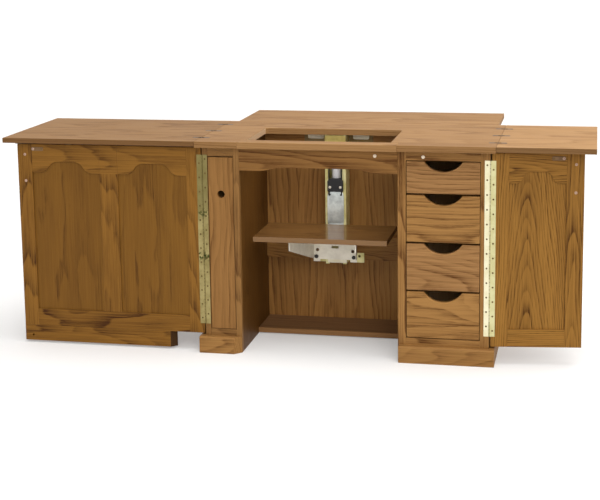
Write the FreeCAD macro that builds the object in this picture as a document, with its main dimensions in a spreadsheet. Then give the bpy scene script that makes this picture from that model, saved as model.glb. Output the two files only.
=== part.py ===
"""Sewing desk in the shaker style: a cabinet with a kneehole between two columns, two doors on
continuous hinges, folding leaves left, right and behind, a machine opening and a lift platform.

X runs along the desk, Y from front to back, Z up; millimetres; the origin is on the floor under
the middle of the opened desk."""
import FreeCAD, Part
import math
import os
import re
import Sketcher

Vector = FreeCAD.Vector
doc = FreeCAD.newDocument("sewing_desk")

# Driving dimensions, in millimetres unless a name ends in _angle (degrees) or _share or _count.
SIZES = {
    # whole desk
    "desk_height": 762,
    "face_width": 1004,
    "side_reach": 19,
    "top_thickness": 22,
    "top_front_reach": 30,
    "board": 19,
    "fit": 0.3,
    "overrun": 5,
    # folding leaves
    "leaf_thickness": 18,
    "left_leaf_length": 711,
    "right_leaf_length": 328,
    "seam_gap": 0.8,
    "rear_leaf_inset": 28,
    "rear_leaf_depth": 324,
    "rear_leaf_thickness": 20,
    # machine opening in the top
    "opening_inset": 21,
    "opening_right_inset": 28,
    "opening_strip": 61,
    "opening_depth": 292,
    "opening_round": 12,
    "strip_drop": 1,
    # cabinet
    "rebate_depth": 26,
    "post_depth": 44,
    "side_back_inset": 20,
    "interior_depth": 423,
    "back_sheet": 6,
    "back_recess": 47,
    "left_column_width": 133,
    "left_outer_stile": 20,
    "left_inner_stile": 20,
    "right_column_width": 314,
    "right_inner_stile": 28,
    "right_outer_stile": 32,
    "top_rail_height": 33,
    "bottom_rail_height": 24,
    "plinth_height": 60,
    "plinth_chamfer": 6,
    "apron_end_height": 82,
    "apron_rise": 13,
    "apron_flat": 70,
    "apron_ogee": 80,
    "back_rail_height": 90,
    "mid_rail_drop": 485,
    "shelf_front": 242,
    "shelf_lift": 4,
    "cleat": 18,
    # doors
    "door_thickness": 20,
    "door_edge_gap": 4,
    "door_meeting_gap": 4,
    "door_low": 66,
    "door_top_gap": 3,
    "door_rest_angle": 7,
    "left_door_stile": 54,
    "right_door_stile": 58,
    "door_muntin": 67,
    "door_bottom_rail": 62,
    "door_arch_drop": 63,
    "door_arch_rise": 40,
    "door_shoulder_share": 0.11,
    "door_crown_share": 0.24,
    "door_panel": 8,
    "door_groove": 7,
    "door_panel_gap": 1,
    "skirt_lift": 8,
    "skirt_gap": 4,
    # continuous hinges
    "hinge_offset": 2.6,
    "hinge_leaf_width": 19,
    "hinge_leaf_thickness": 1.2,
    "hinge_low_gap": 36,
    "hinge_top_gap": 25.4,
    "hinge_hole_count": 12,
    "hinge_hole_radius": 3.2,
    "door_hole_share": 0.4,
    "frame_hole_share": 0.7,
    "hinge_strip_share": 0.6,
    "hinge_barrel_radius": 2.3,
    "hinge_bore_radius": 1.06,
    "hinge_pin_radius": 1,
    # drawers
    "drawer_side_gap": 2,
    "drawer_gap": 6,
    "drawer_low_gap": 2.5,
    "drawer_top_gap": 3.5,
    "top_drawer_height": 110,
    "scoop_chord": 131,
    "scoop_depth": 35,
    "drawer_box_width": 214,
    "drawer_back_gap": 23,
    "drawer_box_wall": 12,
    "drawer_box_lift": 12,
    "drawer_box_drop": 40,
    "top_drawer_box_drop": 42,
    "drawer_bottom": 6,
    "slide_width": 12,
    "slide_height": 20,
    "slide_gap": 0.3,
    # pull-out rack in the left column
    "pull_out_gap": 2,
    "pull_out_drop": 3.5,
    "finger_hole_radius": 13,
    "finger_hole_drop": 131.5,
    "rack_wall": 12,
    "rack_side_inset": 10,
    "rack_width": 66,
    "rack_back_gap": 26,
    "rack_shelf": 9,
    "rack_low": 14,
    "rack_high": 40,
    "rack_shelf_count": 4,
    "rack_runner": 12,
    # lift
    "lift_offset": 2,
    "track_width": 78,
    "track_depth": 74,
    "track_wall": 2.5,
    "track_lip": 14,
    "track_length": 485,
    "ear_width": 90,
    "ear_height": 37,
    "low_ear_width": 54,
    "low_ear_drop": 10,
    "ear_screw_share": 0.67,
    "cylinder_radius": 17,
    "cylinder_length": 162,
    "cylinder_inset": 4,
    "block_width": 58,
    "block_height": 48,
    "block_thickness": 12,
    "block_chamfer": 9,
    "cover_width": 62,
    "cover_height": 98,
    "cover_thickness": 4,
    "carriage_gap": 4,
    "carriage_width": 162,
    "carriage_plate": 6,
    "carriage_height": 119,
    "shoe_width": 10,
    "shoe_reach": 46,
    "shoe_drop": 8,
    "slot_width": 26,
    "slot_height": 9,
    "slot_low": 42,
    "tab_width": 24,
    "tab_drop": 9,
    "arm_thickness": 3,
    "arm_flange": 22,
    "arm_tip_height": 34,
    "arm_spread_angle": 9,
    "platform_left_gap": 35.5,
    "platform_right_gap": 43.5,
    "platform_depth": 251,
    "platform_thickness": 18,
    "platform_drop": 348,
    "platform_front": 40,
    # small fittings
    "pull_spacing": 96,
    "pull_inset": 28,
    "pull_drop": 38,
    "pull_radius": 5,
    "pull_reach": 26,
    "screw_radius": 5,
    "screw_head": 1.5,
    "magnet_radius": 6,
    "magnet_length": 3.4,
    "magnet_drop": 40,
    "left_magnet_inset": 76,
    "right_magnet_inset": 85,
    "strike_width": 46,
    "strike_height": 14,
    "strike_thickness": 1.2,
    "stop_hole_radius": 4,
    "stop_hole_inset": 30,
    "stop_hole_height": 28,
    "pad_size": 24,
    # flush hinges of the side leaves
    "table_hinge_length": 30,
    "table_hinge_width": 21,
    "table_hinge_block": 13,
    "table_hinge_depth": 11,
    "table_hinge_plate": 2.5,
    "table_pin_reach": 7,
    "table_pin_depth": 6.4,
    "table_pin_radius": 1.5,
    "table_slot": 9,
    "table_slot_length": 11.5,
    "table_slot_depth": 9.9,
    "link_width": 8,
    "link_radius": 3,
    "link_thickness": 4,
    "link_bore_radius": 1.58,
    "table_hinge_first_share": 0.185,
    "table_hinge_middle_share": 0.5,
    "table_hinge_last_share": 0.815,
    # hinges and stays of the rear leaf
    "butt_length": 64,
    "butt_reach": 26,
    "butt_plate": 1.5,
    "butt_barrel_radius": 2.5,
    "butt_bore_radius": 1.26,
    "butt_pin_radius": 1.2,
    "butt_inset": 140,
    "stay_inset": 230,
    "stay_length": 200,
    "stay_width": 22,
    "stay_thickness": 12,
    "stay_bracket": 26,
    "stay_pin_radius": 2.5,
    "stay_bore_radius": 2.58,
    "stay_rest_height": 60,
    "stay_rest_depth": 31.5,
}

# Places and sizes that follow from the driving dimensions.
PLACES = {
    "top_depth": "top_front_reach + interior_depth + back_sheet + back_recess"
    " + side_back_inset",
    "overall_length": "left_leaf_length + right_leaf_length + face_width"
    " + 2 * side_reach + 2 * seam_gap",
    "overall_depth": "top_depth + seam_gap + rear_leaf_depth",
    "face_left": "side_reach + seam_gap + left_leaf_length - overall_length / 2",
    "face_right": "face_left + face_width",
    "top_left": "face_left - side_reach",
    "top_right": "face_right + side_reach",
    "kneehole_left": "face_left + left_column_width",
    "kneehole_right": "face_right - right_column_width",
    "top_front": "-overall_depth / 2",
    "top_back": "top_front + top_depth",
    "face_y": "top_front + top_front_reach",
    "side_front": "face_y + rebate_depth",
    "side_back": "top_back - side_back_inset",
    "frame_back": "face_y + board",
    "post_back": "face_y + post_depth",
    "back_y": "face_y + interior_depth",
    "back_outer": "back_y + back_sheet",
    "top_under": "desk_height - top_thickness",
    "strip_under": "top_under - strip_drop",
    "opening_left": "kneehole_left + opening_inset",
    "opening_width": "kneehole_right - opening_right_inset - opening_left",
    "opening_front": "top_front + opening_strip",
    "rail_low": "top_under - top_rail_height",
    "column_low": "plinth_height + bottom_rail_height",
    "floor_low": "plinth_height - board",
    "plinth_front": "face_y - 2 * hinge_offset - door_thickness",
    "plinth_left_end": "kneehole_left - 2 * hinge_offset - door_thickness",
    "apron_low": "top_under - apron_end_height",
    "apron_high": "apron_low + apron_rise",
    "ogee_radius": "(apron_ogee * apron_ogee + apron_rise * apron_rise) / (4 * apron_rise)",
    "hinge_y": "face_y - hinge_offset",
    "door_top": "top_under - door_top_gap",
    "hinge_low": "door_low + hinge_low_gap",
    "hinge_length": "door_top - hinge_top_gap - hinge_low",
    "hinge_pitch": "hinge_length / hinge_hole_count",
    "left_door_width": "face_width - right_column_width - door_meeting_gap / 2",
    "right_door_width": "right_column_width - door_meeting_gap / 2",
    "left_magnet_place": "left_door_width - left_magnet_inset",
    "right_magnet_place": "right_door_width - right_magnet_inset",
    "drawer_left": "kneehole_right + right_inner_stile + drawer_side_gap",
    "drawer_right": "face_right - right_outer_stile - drawer_side_gap",
    "drawer_middle": "(drawer_left + drawer_right) / 2",
    "drawer_low": "column_low + drawer_low_gap",
    "drawer_room": "rail_low - drawer_top_gap - drawer_low - 3 * drawer_gap",
    "drawer_height": "(drawer_room - top_drawer_height) / 3",
    "scoop_radius": "(scoop_chord * scoop_chord / 4 + scoop_depth * scoop_depth)"
    " / (2 * scoop_depth)",
    "drawer_box_depth": "back_y - frame_back - drawer_back_gap",
    "rack_depth": "back_y - frame_back - rack_back_gap",
    "box_left": "drawer_middle - drawer_box_width / 2",
    "box_right": "drawer_middle + drawer_box_width / 2",
    "pull_out_left": "face_left + left_outer_stile + pull_out_gap",
    "pull_out_right": "kneehole_left - left_inner_stile - pull_out_gap",
    "pull_out_low": "column_low + pull_out_gap",
    "pull_out_high": "rail_low - pull_out_drop",
    "finger_hole_height": "pull_out_high - finger_hole_drop",
    "pull_out_middle": "(pull_out_left + pull_out_right) / 2",
    "rack_left": "pull_out_left + rack_side_inset",
    "rack_bottom": "pull_out_low + rack_low",
    "rack_top": "pull_out_high - rack_high",
    "lift_x": "(kneehole_left + kneehole_right) / 2 + lift_offset",
    "rail_face": "back_y - board",
    "mid_rail_low": "top_under - mid_rail_drop",
    "track_low": "top_under - track_length",
    "low_ear_low": "track_low - low_ear_drop",
    "cylinder_low": "top_under - cylinder_length",
    "platform_height": "desk_height - platform_drop",
    "track_front": "rail_face - track_depth",
    "track_left": "lift_x - track_width / 2",
    "track_right": "lift_x + track_width / 2",
    "cover_front": "track_front - cover_thickness",
    "block_front": "track_front - block_thickness",
    "block_low": "cylinder_low - block_height",
    "cover_low": "block_low - cover_height",
    "plate_back": "block_front - carriage_gap",
    "plate_front": "plate_back - carriage_plate",
    "carriage_left": "lift_x - carriage_width / 2",
    "carriage_right": "lift_x + carriage_width / 2",
    "platform_left": "kneehole_left + platform_left_gap",
    "platform_width": "kneehole_right - platform_right_gap - platform_left",
    "platform_y": "face_y + platform_front",
    "platform_low": "platform_height - platform_thickness",
    "carriage_low": "platform_low - carriage_height",
    "arm_length": "plate_back - platform_y - arm_flange",
    "left_seam": "top_left - seam_gap / 2",
    "right_seam": "top_right + seam_gap / 2",
    "leaf_low": "desk_height - leaf_thickness",
    "left_leaf_left": "top_left - seam_gap - left_leaf_length",
    "right_leaf_right": "top_right + seam_gap + right_leaf_length",
    "table_pin_z": "desk_height - table_pin_depth",
    "rear_front": "top_back + seam_gap",
    "rear_back": "rear_front + rear_leaf_depth",
    "rear_left": "top_left + rear_leaf_inset",
    "rear_right": "top_right - rear_leaf_inset",
    "rear_low": "desk_height - rear_leaf_thickness",
    "rear_hinge_y": "top_back + seam_gap / 2",
    "rear_hinge_z": "top_under - butt_barrel_radius",
    "stay_foot_y": "back_outer + stay_rest_depth + fit + stay_thickness / 2 * sqrt(0.5)",
    "stay_y": "stay_foot_y + stay_length * sqrt(0.5)",
    "stay_z": "rear_low - stay_thickness",
    "stay_foot_z": "stay_z - stay_length * sqrt(0.5)",
}

sheet = doc.addObject("Spreadsheet::Sheet", "Sizes")
for row, (alias, value) in enumerate(SIZES.items(), start=1):
    sheet.set(f"A{row}", alias)
    sheet.set(f"B{row}", str(value))
    sheet.setAlias(f"B{row}", alias)
places = doc.addObject("App::VarSet", "Places")
for name in PLACES:
    places.addProperty("App::PropertyFloat", name, "Places")


def qualified(text):
    """An expression with each size and place name led by the object that holds it."""

    def owner(match):
        word = match.group(0)
        if word in SIZES:
            return f"Sizes.{word}"
        if word in PLACES:
            return f"Places.{word}"
        return word

    return re.sub(r"[a-z][a-z0-9_]*", owner, text)


def bind(obj, prop, text):
    obj.setExpression(prop, qualified(text))


for name, text in PLACES.items():
    bind(places, name, text)
doc.recompute()

nodes = []


def publish(obj, label):
    """Gives the finished sub-part the label that names its file."""
    obj.Label = label
    nodes.append(obj)
    return obj


def place(obj, x="0", y="0", z="0"):
    bind(obj, "Placement.Base.x", x)
    bind(obj, "Placement.Base.y", y)
    bind(obj, "Placement.Base.z", z)
    return obj


def box(name, x, y, z):
    """A block from the low and high expressions of each axis."""
    block = doc.addObject("Part::Box", name)
    bind(block, "Length", f"({x[1]}) - ({x[0]})")
    bind(block, "Width", f"({y[1]}) - ({y[0]})")
    bind(block, "Height", f"({z[1]}) - ({z[0]})")
    return place(block, x[0], y[0], z[0])


TURNS = {
    "x": FreeCAD.Rotation(Vector(0, 1, 0), 90),
    "y": FreeCAD.Rotation(Vector(1, 0, 0), -90),
    "z": FreeCAD.Rotation(),
}


def rod(name, axis, start, radius, length):
    """A cylinder that runs from its start point along an axis."""
    bar = doc.addObject("Part::Cylinder", name)
    bind(bar, "Radius", radius)
    bind(bar, "Height", length)
    bar.Placement = FreeCAD.Placement(Vector(), TURNS[axis])
    return place(bar, *start)


def group(name, pieces):
    """Separate solids kept together in one sub-part."""
    bundle = doc.addObject("Part::Compound", name)
    bundle.Links = pieces
    return bundle


def join(name, pieces):
    fused = doc.addObject("Part::MultiFuse", name)
    fused.Shapes = pieces
    return fused


def cut(name, base, tools):
    """The base less the tools."""
    tool = tools[0] if len(tools) == 1 else group(f"{name}_tools", tools)
    result = doc.addObject("Part::Cut", name)
    result.Base = base
    result.Tool = tool
    return result


def body_plane(body, role):
    return next(f for f in body.Origin.OriginFeatures if f.Role == role)


def outline_body(name, role, points, thickness, bends=None, reverse=False):
    """A padded outline. points are pairs of expressions in the sketch's own axes; bends gives the
    signed radius of the arc that leaves a point, positive where it turns anticlockwise."""
    bends = bends or {}
    corners = doc.addObject("App::VarSet", f"{name}_corners")
    for index, (across, up) in enumerate(points):
        for axis, text in (("a", across), ("b", up)):
            prop = f"{axis}{index}"
            corners.addProperty("App::PropertyFloat", prop, "Corners")
            bind(corners, prop, text)
    for index, (sign, radius) in bends.items():
        corners.addProperty("App::PropertyFloat", f"r{index}", "Corners")
        bind(corners, f"r{index}", radius)
    doc.recompute([corners])
    body = doc.addObject("PartDesign::Body", name)
    sketch = body.newObject("Sketcher::SketchObject", f"{name}_sketch")
    sketch.AttachmentSupport = (body_plane(body, role), "")
    sketch.MapMode = "FlatFace"
    spots = [
        Vector(getattr(corners, f"a{i}"), getattr(corners, f"b{i}"), 0) for i in range(len(points))
    ]
    ends = []
    for i, start in enumerate(spots):
        stop = spots[(i + 1) % len(spots)]
        if i in bends:
            sign = bends[i][0]
            radius = getattr(corners, f"r{i}")
            half = (stop - start) * 0.5
            rise = math.sqrt(max(radius**2 - half.Length**2, 0))
            normal = Vector(-half.y, half.x, 0).normalize() * (rise * sign)
            centre = start + half + normal
            first, last = (start, stop) if sign > 0 else (stop, start)
            angles = [math.atan2(p.y - centre.y, p.x - centre.x) for p in (first, last)]
            circle = Part.Circle(centre, Vector(0, 0, 1), radius)
            sketch.addGeometry(Part.ArcOfCircle(circle, angles[0], angles[1]))
            ends.append((1, 2) if sign > 0 else (2, 1))
        else:
            sketch.addGeometry(Part.LineSegment(start, stop))
            ends.append((1, 2))
    count = len(spots)
    for i in range(count):
        after = (i + 1) % count
        sketch.addConstraint(
            Sketcher.Constraint("Coincident", i, ends[i][1], after, ends[after][0])
        )
    for i, spot in enumerate(spots):
        for kind, axis, value in (("DistanceX", "a", spot.x), ("DistanceY", "b", spot.y)):
            number = sketch.addConstraint(
                Sketcher.Constraint(kind, -1, 1, i, ends[i][0], value)
            )
            sketch.setExpression(f"Constraints[{number}]", f"{corners.Name}.{axis}{i}")
        if i in bends:
            radius = getattr(corners, f"r{i}")
            number = sketch.addConstraint(Sketcher.Constraint("Radius", i, radius))
            sketch.setExpression(f"Constraints[{number}]", f"{corners.Name}.r{i}")
    pad = body.newObject("PartDesign::Pad", f"{name}_pad")
    pad.Profile = sketch
    pad.Reversed = reverse
    bind(pad, "Length", thickness)
    return body


def front_board(name, points, low_y, thickness, bends=None):
    """An outline drawn in X and Z, padded from low_y towards the back."""
    return place(outline_body(name, "XZ_Plane", points, thickness, bends, True), "0", low_y)


def make_top():
    plate = box(
        "top_plate",
        ("top_left", "top_right"),
        ("top_front", "top_back"),
        ("top_under", "desk_height"),
    )
    hole = box(
        "opening_hole",
        ("opening_left", "opening_left + opening_width"),
        ("top_front - overrun", "opening_front + opening_depth"),
        ("top_under - overrun", "desk_height + overrun"),
    )
    strip_room = box(
        "strip_room",
        ("kneehole_left", "kneehole_right"),
        ("top_front - overrun", "opening_front"),
        ("top_under - overrun", "desk_height + overrun"),
    )
    doc.recompute()
    rounded = doc.addObject("Part::Fillet", "opening_rounded")
    rounded.Base = hole
    reach = hole.Shape.BoundBox
    rounded.Edges = [
        (i, sheet.opening_round, sheet.opening_round)
        for i, edge in enumerate(hole.Shape.Edges, start=1)
        if abs(edge.BoundBox.ZLength - reach.ZLength) < 1e-6
        and abs(edge.BoundBox.YMin - reach.YMax) < 1e-6
    ]
    recesses = [hinge_recess(side, k, True) for side in (-1, 1) for k in range(3)]
    publish(cut("top", plate, [rounded, strip_room] + recesses), "centre_top")
    strip = box(
        "strip",
        ("kneehole_left + fit", "kneehole_right - fit"),
        ("top_front", "opening_front"),
        ("strip_under", "desk_height"),
    )
    publish(strip, "front_strip")


def seam(side):
    return "left_seam" if side < 0 else "right_seam"


def hinge_share(k):
    return ("table_hinge_first_share", "table_hinge_middle_share", "table_hinge_last_share")[k]


def ordered(side, near, far):
    """A low and high expression at two distances from a seam, on the side given."""
    if side > 0:
        return near, far
    return far, near


def hinge_span(side, on_top, near, far):
    """X span at two distances from a seam, into the centre top or into the leaf."""
    way = -side if on_top else side
    sign = "+" if way > 0 else "-"
    return ordered(way, f"{seam(side)} {sign} ({near})", f"{seam(side)} {sign} ({far})")


def hinge_middle(k):
    return f"top_front + top_depth * {hinge_share(k)}"


def hinge_width(k, width):
    return f"{hinge_middle(k)} - ({width}) / 2", f"{hinge_middle(k)} + ({width}) / 2"


def hinge_recess(side, k, on_top):
    """Room in a board for one half of a flush hinge: a shallow seat and a deep pocket."""
    tag = f"{'top' if on_top else 'leaf'}_{'left' if side < 0 else 'right'}_{k}"
    seat = box(
        f"seat_{tag}",
        hinge_span(side, on_top, "-overrun", "table_hinge_length"),
        hinge_width(k, "table_hinge_width"),
        ("desk_height - table_hinge_plate", "desk_height + overrun"),
    )
    pocket = box(
        f"pocket_{tag}",
        hinge_span(side, on_top, "-overrun", "table_hinge_block"),
        hinge_width(k, "table_hinge_width"),
        ("desk_height - table_hinge_depth", "desk_height + overrun"),
    )
    return join(f"recess_{tag}", [seat, pocket])


def hinge_half(side, k, on_top):
    """One half of a flush hinge: a plate, a slotted block under it and its pin."""
    tag = f"{'top' if on_top else 'leaf'}_{'left' if side < 0 else 'right'}_{k}"
    near = "seam_gap / 2"
    plate = box(
        f"plate_{tag}",
        hinge_span(side, on_top, near, "table_hinge_length"),
        hinge_width(k, "table_hinge_width"),
        ("desk_height - table_hinge_plate", "desk_height"),
    )
    block = box(
        f"block_{tag}",
        hinge_span(side, on_top, near, "table_hinge_block"),
        hinge_width(k, "table_hinge_width"),
        ("desk_height - table_hinge_depth", "desk_height"),
    )
    slot = box(
        f"slot_{tag}",
        hinge_span(side, on_top, "-overrun", "table_slot_length"),
        hinge_width(k, "table_slot"),
        ("desk_height - table_slot_depth", "desk_height + overrun"),
    )
    slotted = cut(f"slotted_{tag}", join(f"half_{tag}", [plate, block]), [slot])
    way = ("-" if side > 0 else "+") if on_top else ("+" if side > 0 else "-")
    pin = rod(
        f"pin_{tag}",
        "y",
        (
            f"{seam(side)} {way} table_pin_reach",
            f"{hinge_middle(k)} - table_hinge_width / 2",
            "table_pin_z",
        ),
        "table_pin_radius",
        "table_hinge_width",
    )
    return join(f"hinge_{tag}", [slotted, pin])


def make_links(side, label):
    """The three links of one seam, each turning on the pin in the centre top."""
    links = []
    way = "-" if side > 0 else "+"
    far = "+" if side > 0 else "-"
    for k in range(3):
        tag = f"{label}_{k}"
        y = hinge_width(k, "link_width")
        pin_x = f"{seam(side)} {way} table_pin_reach"
        tip = f"{seam(side)} {far} (table_pin_reach - table_pin_radius - fit)"
        eye = rod(
            f"eye_{tag}", "y", (pin_x, y[0], "table_pin_z"), "link_radius", "link_width"
        )
        bar = box(
            f"bar_{tag}",
            ordered(side, pin_x, tip),
            y,
            ("table_pin_z - link_thickness / 2", "table_pin_z + link_thickness / 2"),
        )
        bore = rod(
            f"bore_{tag}",
            "y",
            (pin_x, f"{y[0]} - overrun", "table_pin_z"),
            "link_bore_radius",
            "link_width + 2 * overrun",
        )
        links.append(cut(f"link_{tag}", join(f"solid_{tag}", [eye, bar]), [bore]))
    publish(group(label, links), f"{label}s")


def make_side_leaf(side, label):
    x = (
        ("left_leaf_left", "top_left - seam_gap")
        if side < 0
        else ("top_right + seam_gap", "right_leaf_right")
    )
    board = box(
        f"{label}_board", x, ("top_front", "top_back"), ("leaf_low", "desk_height")
    )
    recesses = [hinge_recess(side, k, False) for k in range(3)]
    publish(cut(f"{label}_cut", board, recesses), label)
    halves = [hinge_half(side, k, False) for k in range(3)]
    free = x[0] if side < 0 else x[1]
    inward = "+" if side < 0 else "-"
    pads = []
    for step in (2, 10):
        middle = f"{free} {inward} {step} * pad_size"
        swung = "0" if side < 0 else f"({middle} - face_right) * tan(door_rest_angle)"
        pads.append(
            box(
                f"{label}_pad_{step}",
                (f"{middle} - pad_size / 2", f"{middle} + pad_size / 2"),
                (f"face_y + {swung}", f"face_y + {swung} + door_thickness"),
                ("door_top + fit", "leaf_low"),
            )
        )
    publish(group(f"{label}_fittings_group", halves + pads), f"{label}_fittings")


def make_cabinet():
    full = ("0", "top_under")
    side_y = ("side_front", "side_back")
    publish(
        box("left_side", ("top_left", "face_left"), side_y, full), "left_side_panel"
    )
    publish(
        box("right_side", ("face_right", "top_right"), side_y, full), "right_side_panel"
    )
    inner_y = ("frame_back", "back_y")
    publish(
        box("left_inner", ("kneehole_left - board", "kneehole_left"), inner_y, full),
        "left_inner_panel",
    )
    publish(
        box("right_inner", ("kneehole_right", "kneehole_right + board"), inner_y, full),
        "right_inner_panel",
    )
    face_frame("left", "face_left", "kneehole_left", "left_outer_stile", "left_inner_stile")
    face_frame("right", "kneehole_right", "face_right", "right_inner_stile", "right_outer_stile")
    publish(
        box(
            "back",
            ("face_left", "face_right"),
            ("back_y", "back_outer"),
            ("shelf_lift", "top_under"),
        ),
        "back_panel",
    )
    rail_x = ("kneehole_left", "kneehole_right")
    rail_y = ("rail_face", "back_y")
    rails = [
        box("upper_rail", rail_x, rail_y, ("top_under - back_rail_height", "top_under")),
        box("mid_rail", rail_x, rail_y, ("mid_rail_low", "mid_rail_low + back_rail_height")),
    ]
    publish(group("rails", rails), "back_rails")
    publish(
        box(
            "shelf",
            rail_x,
            ("face_y + shelf_front", "back_y"),
            ("shelf_lift", "shelf_lift + board"),
        ),
        "kneehole_shelf",
    )
    floors = [
        box(
            "left_floor",
            ("face_left", "kneehole_left - board"),
            ("post_back", "back_y"),
            ("floor_low", "plinth_height"),
        ),
        box(
            "right_floor",
            ("kneehole_right + board", "face_right"),
            ("post_back", "back_y"),
            ("floor_low", "plinth_height"),
        ),
    ]
    publish(group("floors", floors), "column_floors")


def face_frame(side, low_x, high_x, left_stile, right_stile):
    """Two stiles, a top rail and a bottom rail; the outer stile is a deeper post."""
    outer_left = side == "left"
    left_y = ("face_y", "post_back" if outer_left else "frame_back")
    right_y = ("face_y", "frame_back" if outer_left else "post_back")
    full = ("0", "top_under")
    between = (f"{low_x} + {left_stile}", f"{high_x} - {right_stile}")
    thin = ("face_y", "frame_back")
    pieces = [
        box(f"{side}_stile_a", (low_x, f"{low_x} + {left_stile}"), left_y, full),
        box(f"{side}_stile_b", (f"{high_x} - {right_stile}", high_x), right_y, full),
        box(f"{side}_rail_top", between, thin, ("rail_low", "top_under")),
        box(f"{side}_rail_bottom", between, thin, ("floor_low", "column_low")),
    ]
    publish(group(f"{side}_frame", pieces), f"{side}_face_frame")


def make_plinths():
    """Base blocks in front of the columns, chamfered along the top front edge and returned to the
    side panels; the left one ends in the mitre that the left door's skirt meets."""
    chamfer = "plinth_chamfer"
    left = outline_body(
        "left_plinth_plan",
        "XY_Plane",
        [
            ("top_left", "plinth_front"),
            ("plinth_left_end", "plinth_front"),
            ("kneehole_left", "face_y"),
            ("face_left", "face_y"),
            ("face_left", "side_front"),
            ("top_left", "side_front"),
        ],
        "plinth_height",
    )
    right = outline_body(
        "right_plinth_plan",
        "XY_Plane",
        [
            ("kneehole_right + skirt_gap", "plinth_front"),
            ("top_right", "plinth_front"),
            ("top_right", "side_front"),
            ("face_right", "side_front"),
            ("face_right", "face_y"),
            ("kneehole_right + skirt_gap", "face_y"),
        ],
        "plinth_height",
    )
    done = []
    for side, blank in (("left", left), ("right", right)):
        wedge = outline_body(
            f"{side}_plinth_wedge",
            "YZ_Plane",
            [
                (f"plinth_front - {chamfer}", f"plinth_height - 2 * {chamfer}"),
                (f"plinth_front + {chamfer}", "plinth_height"),
                (f"plinth_front + {chamfer}", f"plinth_height + {chamfer}"),
                (f"plinth_front - {chamfer}", f"plinth_height + {chamfer}"),
            ],
            "face_width + 2 * side_reach + 2 * overrun",
        )
        place(wedge, "top_left - overrun")
        done.append(cut(f"{side}_plinth", blank, [wedge]))
    publish(group("plinth_group", done), "plinths")


def make_apron():
    left, right = "kneehole_left", "kneehole_right"
    inner_l = f"{left} + apron_flat + apron_ogee"
    inner_r = f"{right} - apron_flat - apron_ogee"
    half_rise = "apron_low + apron_rise / 2"
    points = [
        (left, "strip_under"),
        (left, "apron_low"),
        (f"{left} + apron_flat", "apron_low"),
        (f"{left} + apron_flat + apron_ogee / 2", half_rise),
        (inner_l, "apron_high"),
        (inner_r, "apron_high"),
        (f"{right} - apron_flat - apron_ogee / 2", half_rise),
        (f"{right} - apron_flat", "apron_low"),
        (right, "apron_low"),
        (right, "strip_under"),
    ]
    bends = {
        2: (1, "ogee_radius"),
        3: (-1, "ogee_radius"),
        5: (-1, "ogee_radius"),
        6: (1, "ogee_radius"),
    }
    publish(front_board("apron_board", points, "face_y", "board", bends), "apron")


def arched_rail(name, low_x, high_x, y, thickness):
    """A door's top rail over one panel: shoulders, then an ogee up to a crowned middle."""
    span = f"(({high_x}) - ({low_x}))"
    side = f"{span} * door_shoulder_share"
    crown = f"{span} * door_crown_share"
    peak = "door_top - door_arch_drop"
    low = f"{peak} - door_arch_rise"
    middle = f"(({low_x}) + ({high_x})) / 2"
    run = f"{span} * (1 - 2 * door_shoulder_share - door_crown_share) / 2"
    radius = f"({run}) * ({run}) / (4 * door_arch_rise) + door_arch_rise / 4"
    half_up = f"{peak} - door_arch_rise / 2"
    points = [
        (low_x, "door_top"),
        (low_x, low),
        (f"{low_x} + {side}", low),
        (f"{low_x} + {side} + ({run}) / 2", half_up),
        (f"{middle} - {crown} / 2", peak),
        (f"{middle} + {crown} / 2", peak),
        (f"{high_x} - {side} - ({run}) / 2", half_up),
        (f"{high_x} - {side}", low),
        (high_x, low),
        (high_x, "door_top"),
    ]
    bends = {2: (1, radius), 3: (-1, radius), 5: (-1, radius), 6: (1, radius)}
    return front_board(name, points, y, thickness, bends)


def panel_room(name, low_x, high_x, low_z, high_z):
    """The groove's room round a panel, cut from the rails and stiles about it."""
    gap = "door_groove"
    return box(
        name,
        (f"{low_x} - {gap}", f"{high_x} + {gap}"),
        ("hinge_offset + (door_thickness - door_panel) / 2",
         "hinge_offset + (door_thickness + door_panel) / 2"),
        (f"{low_z} - {gap}", f"{high_z}"),
    )


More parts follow.
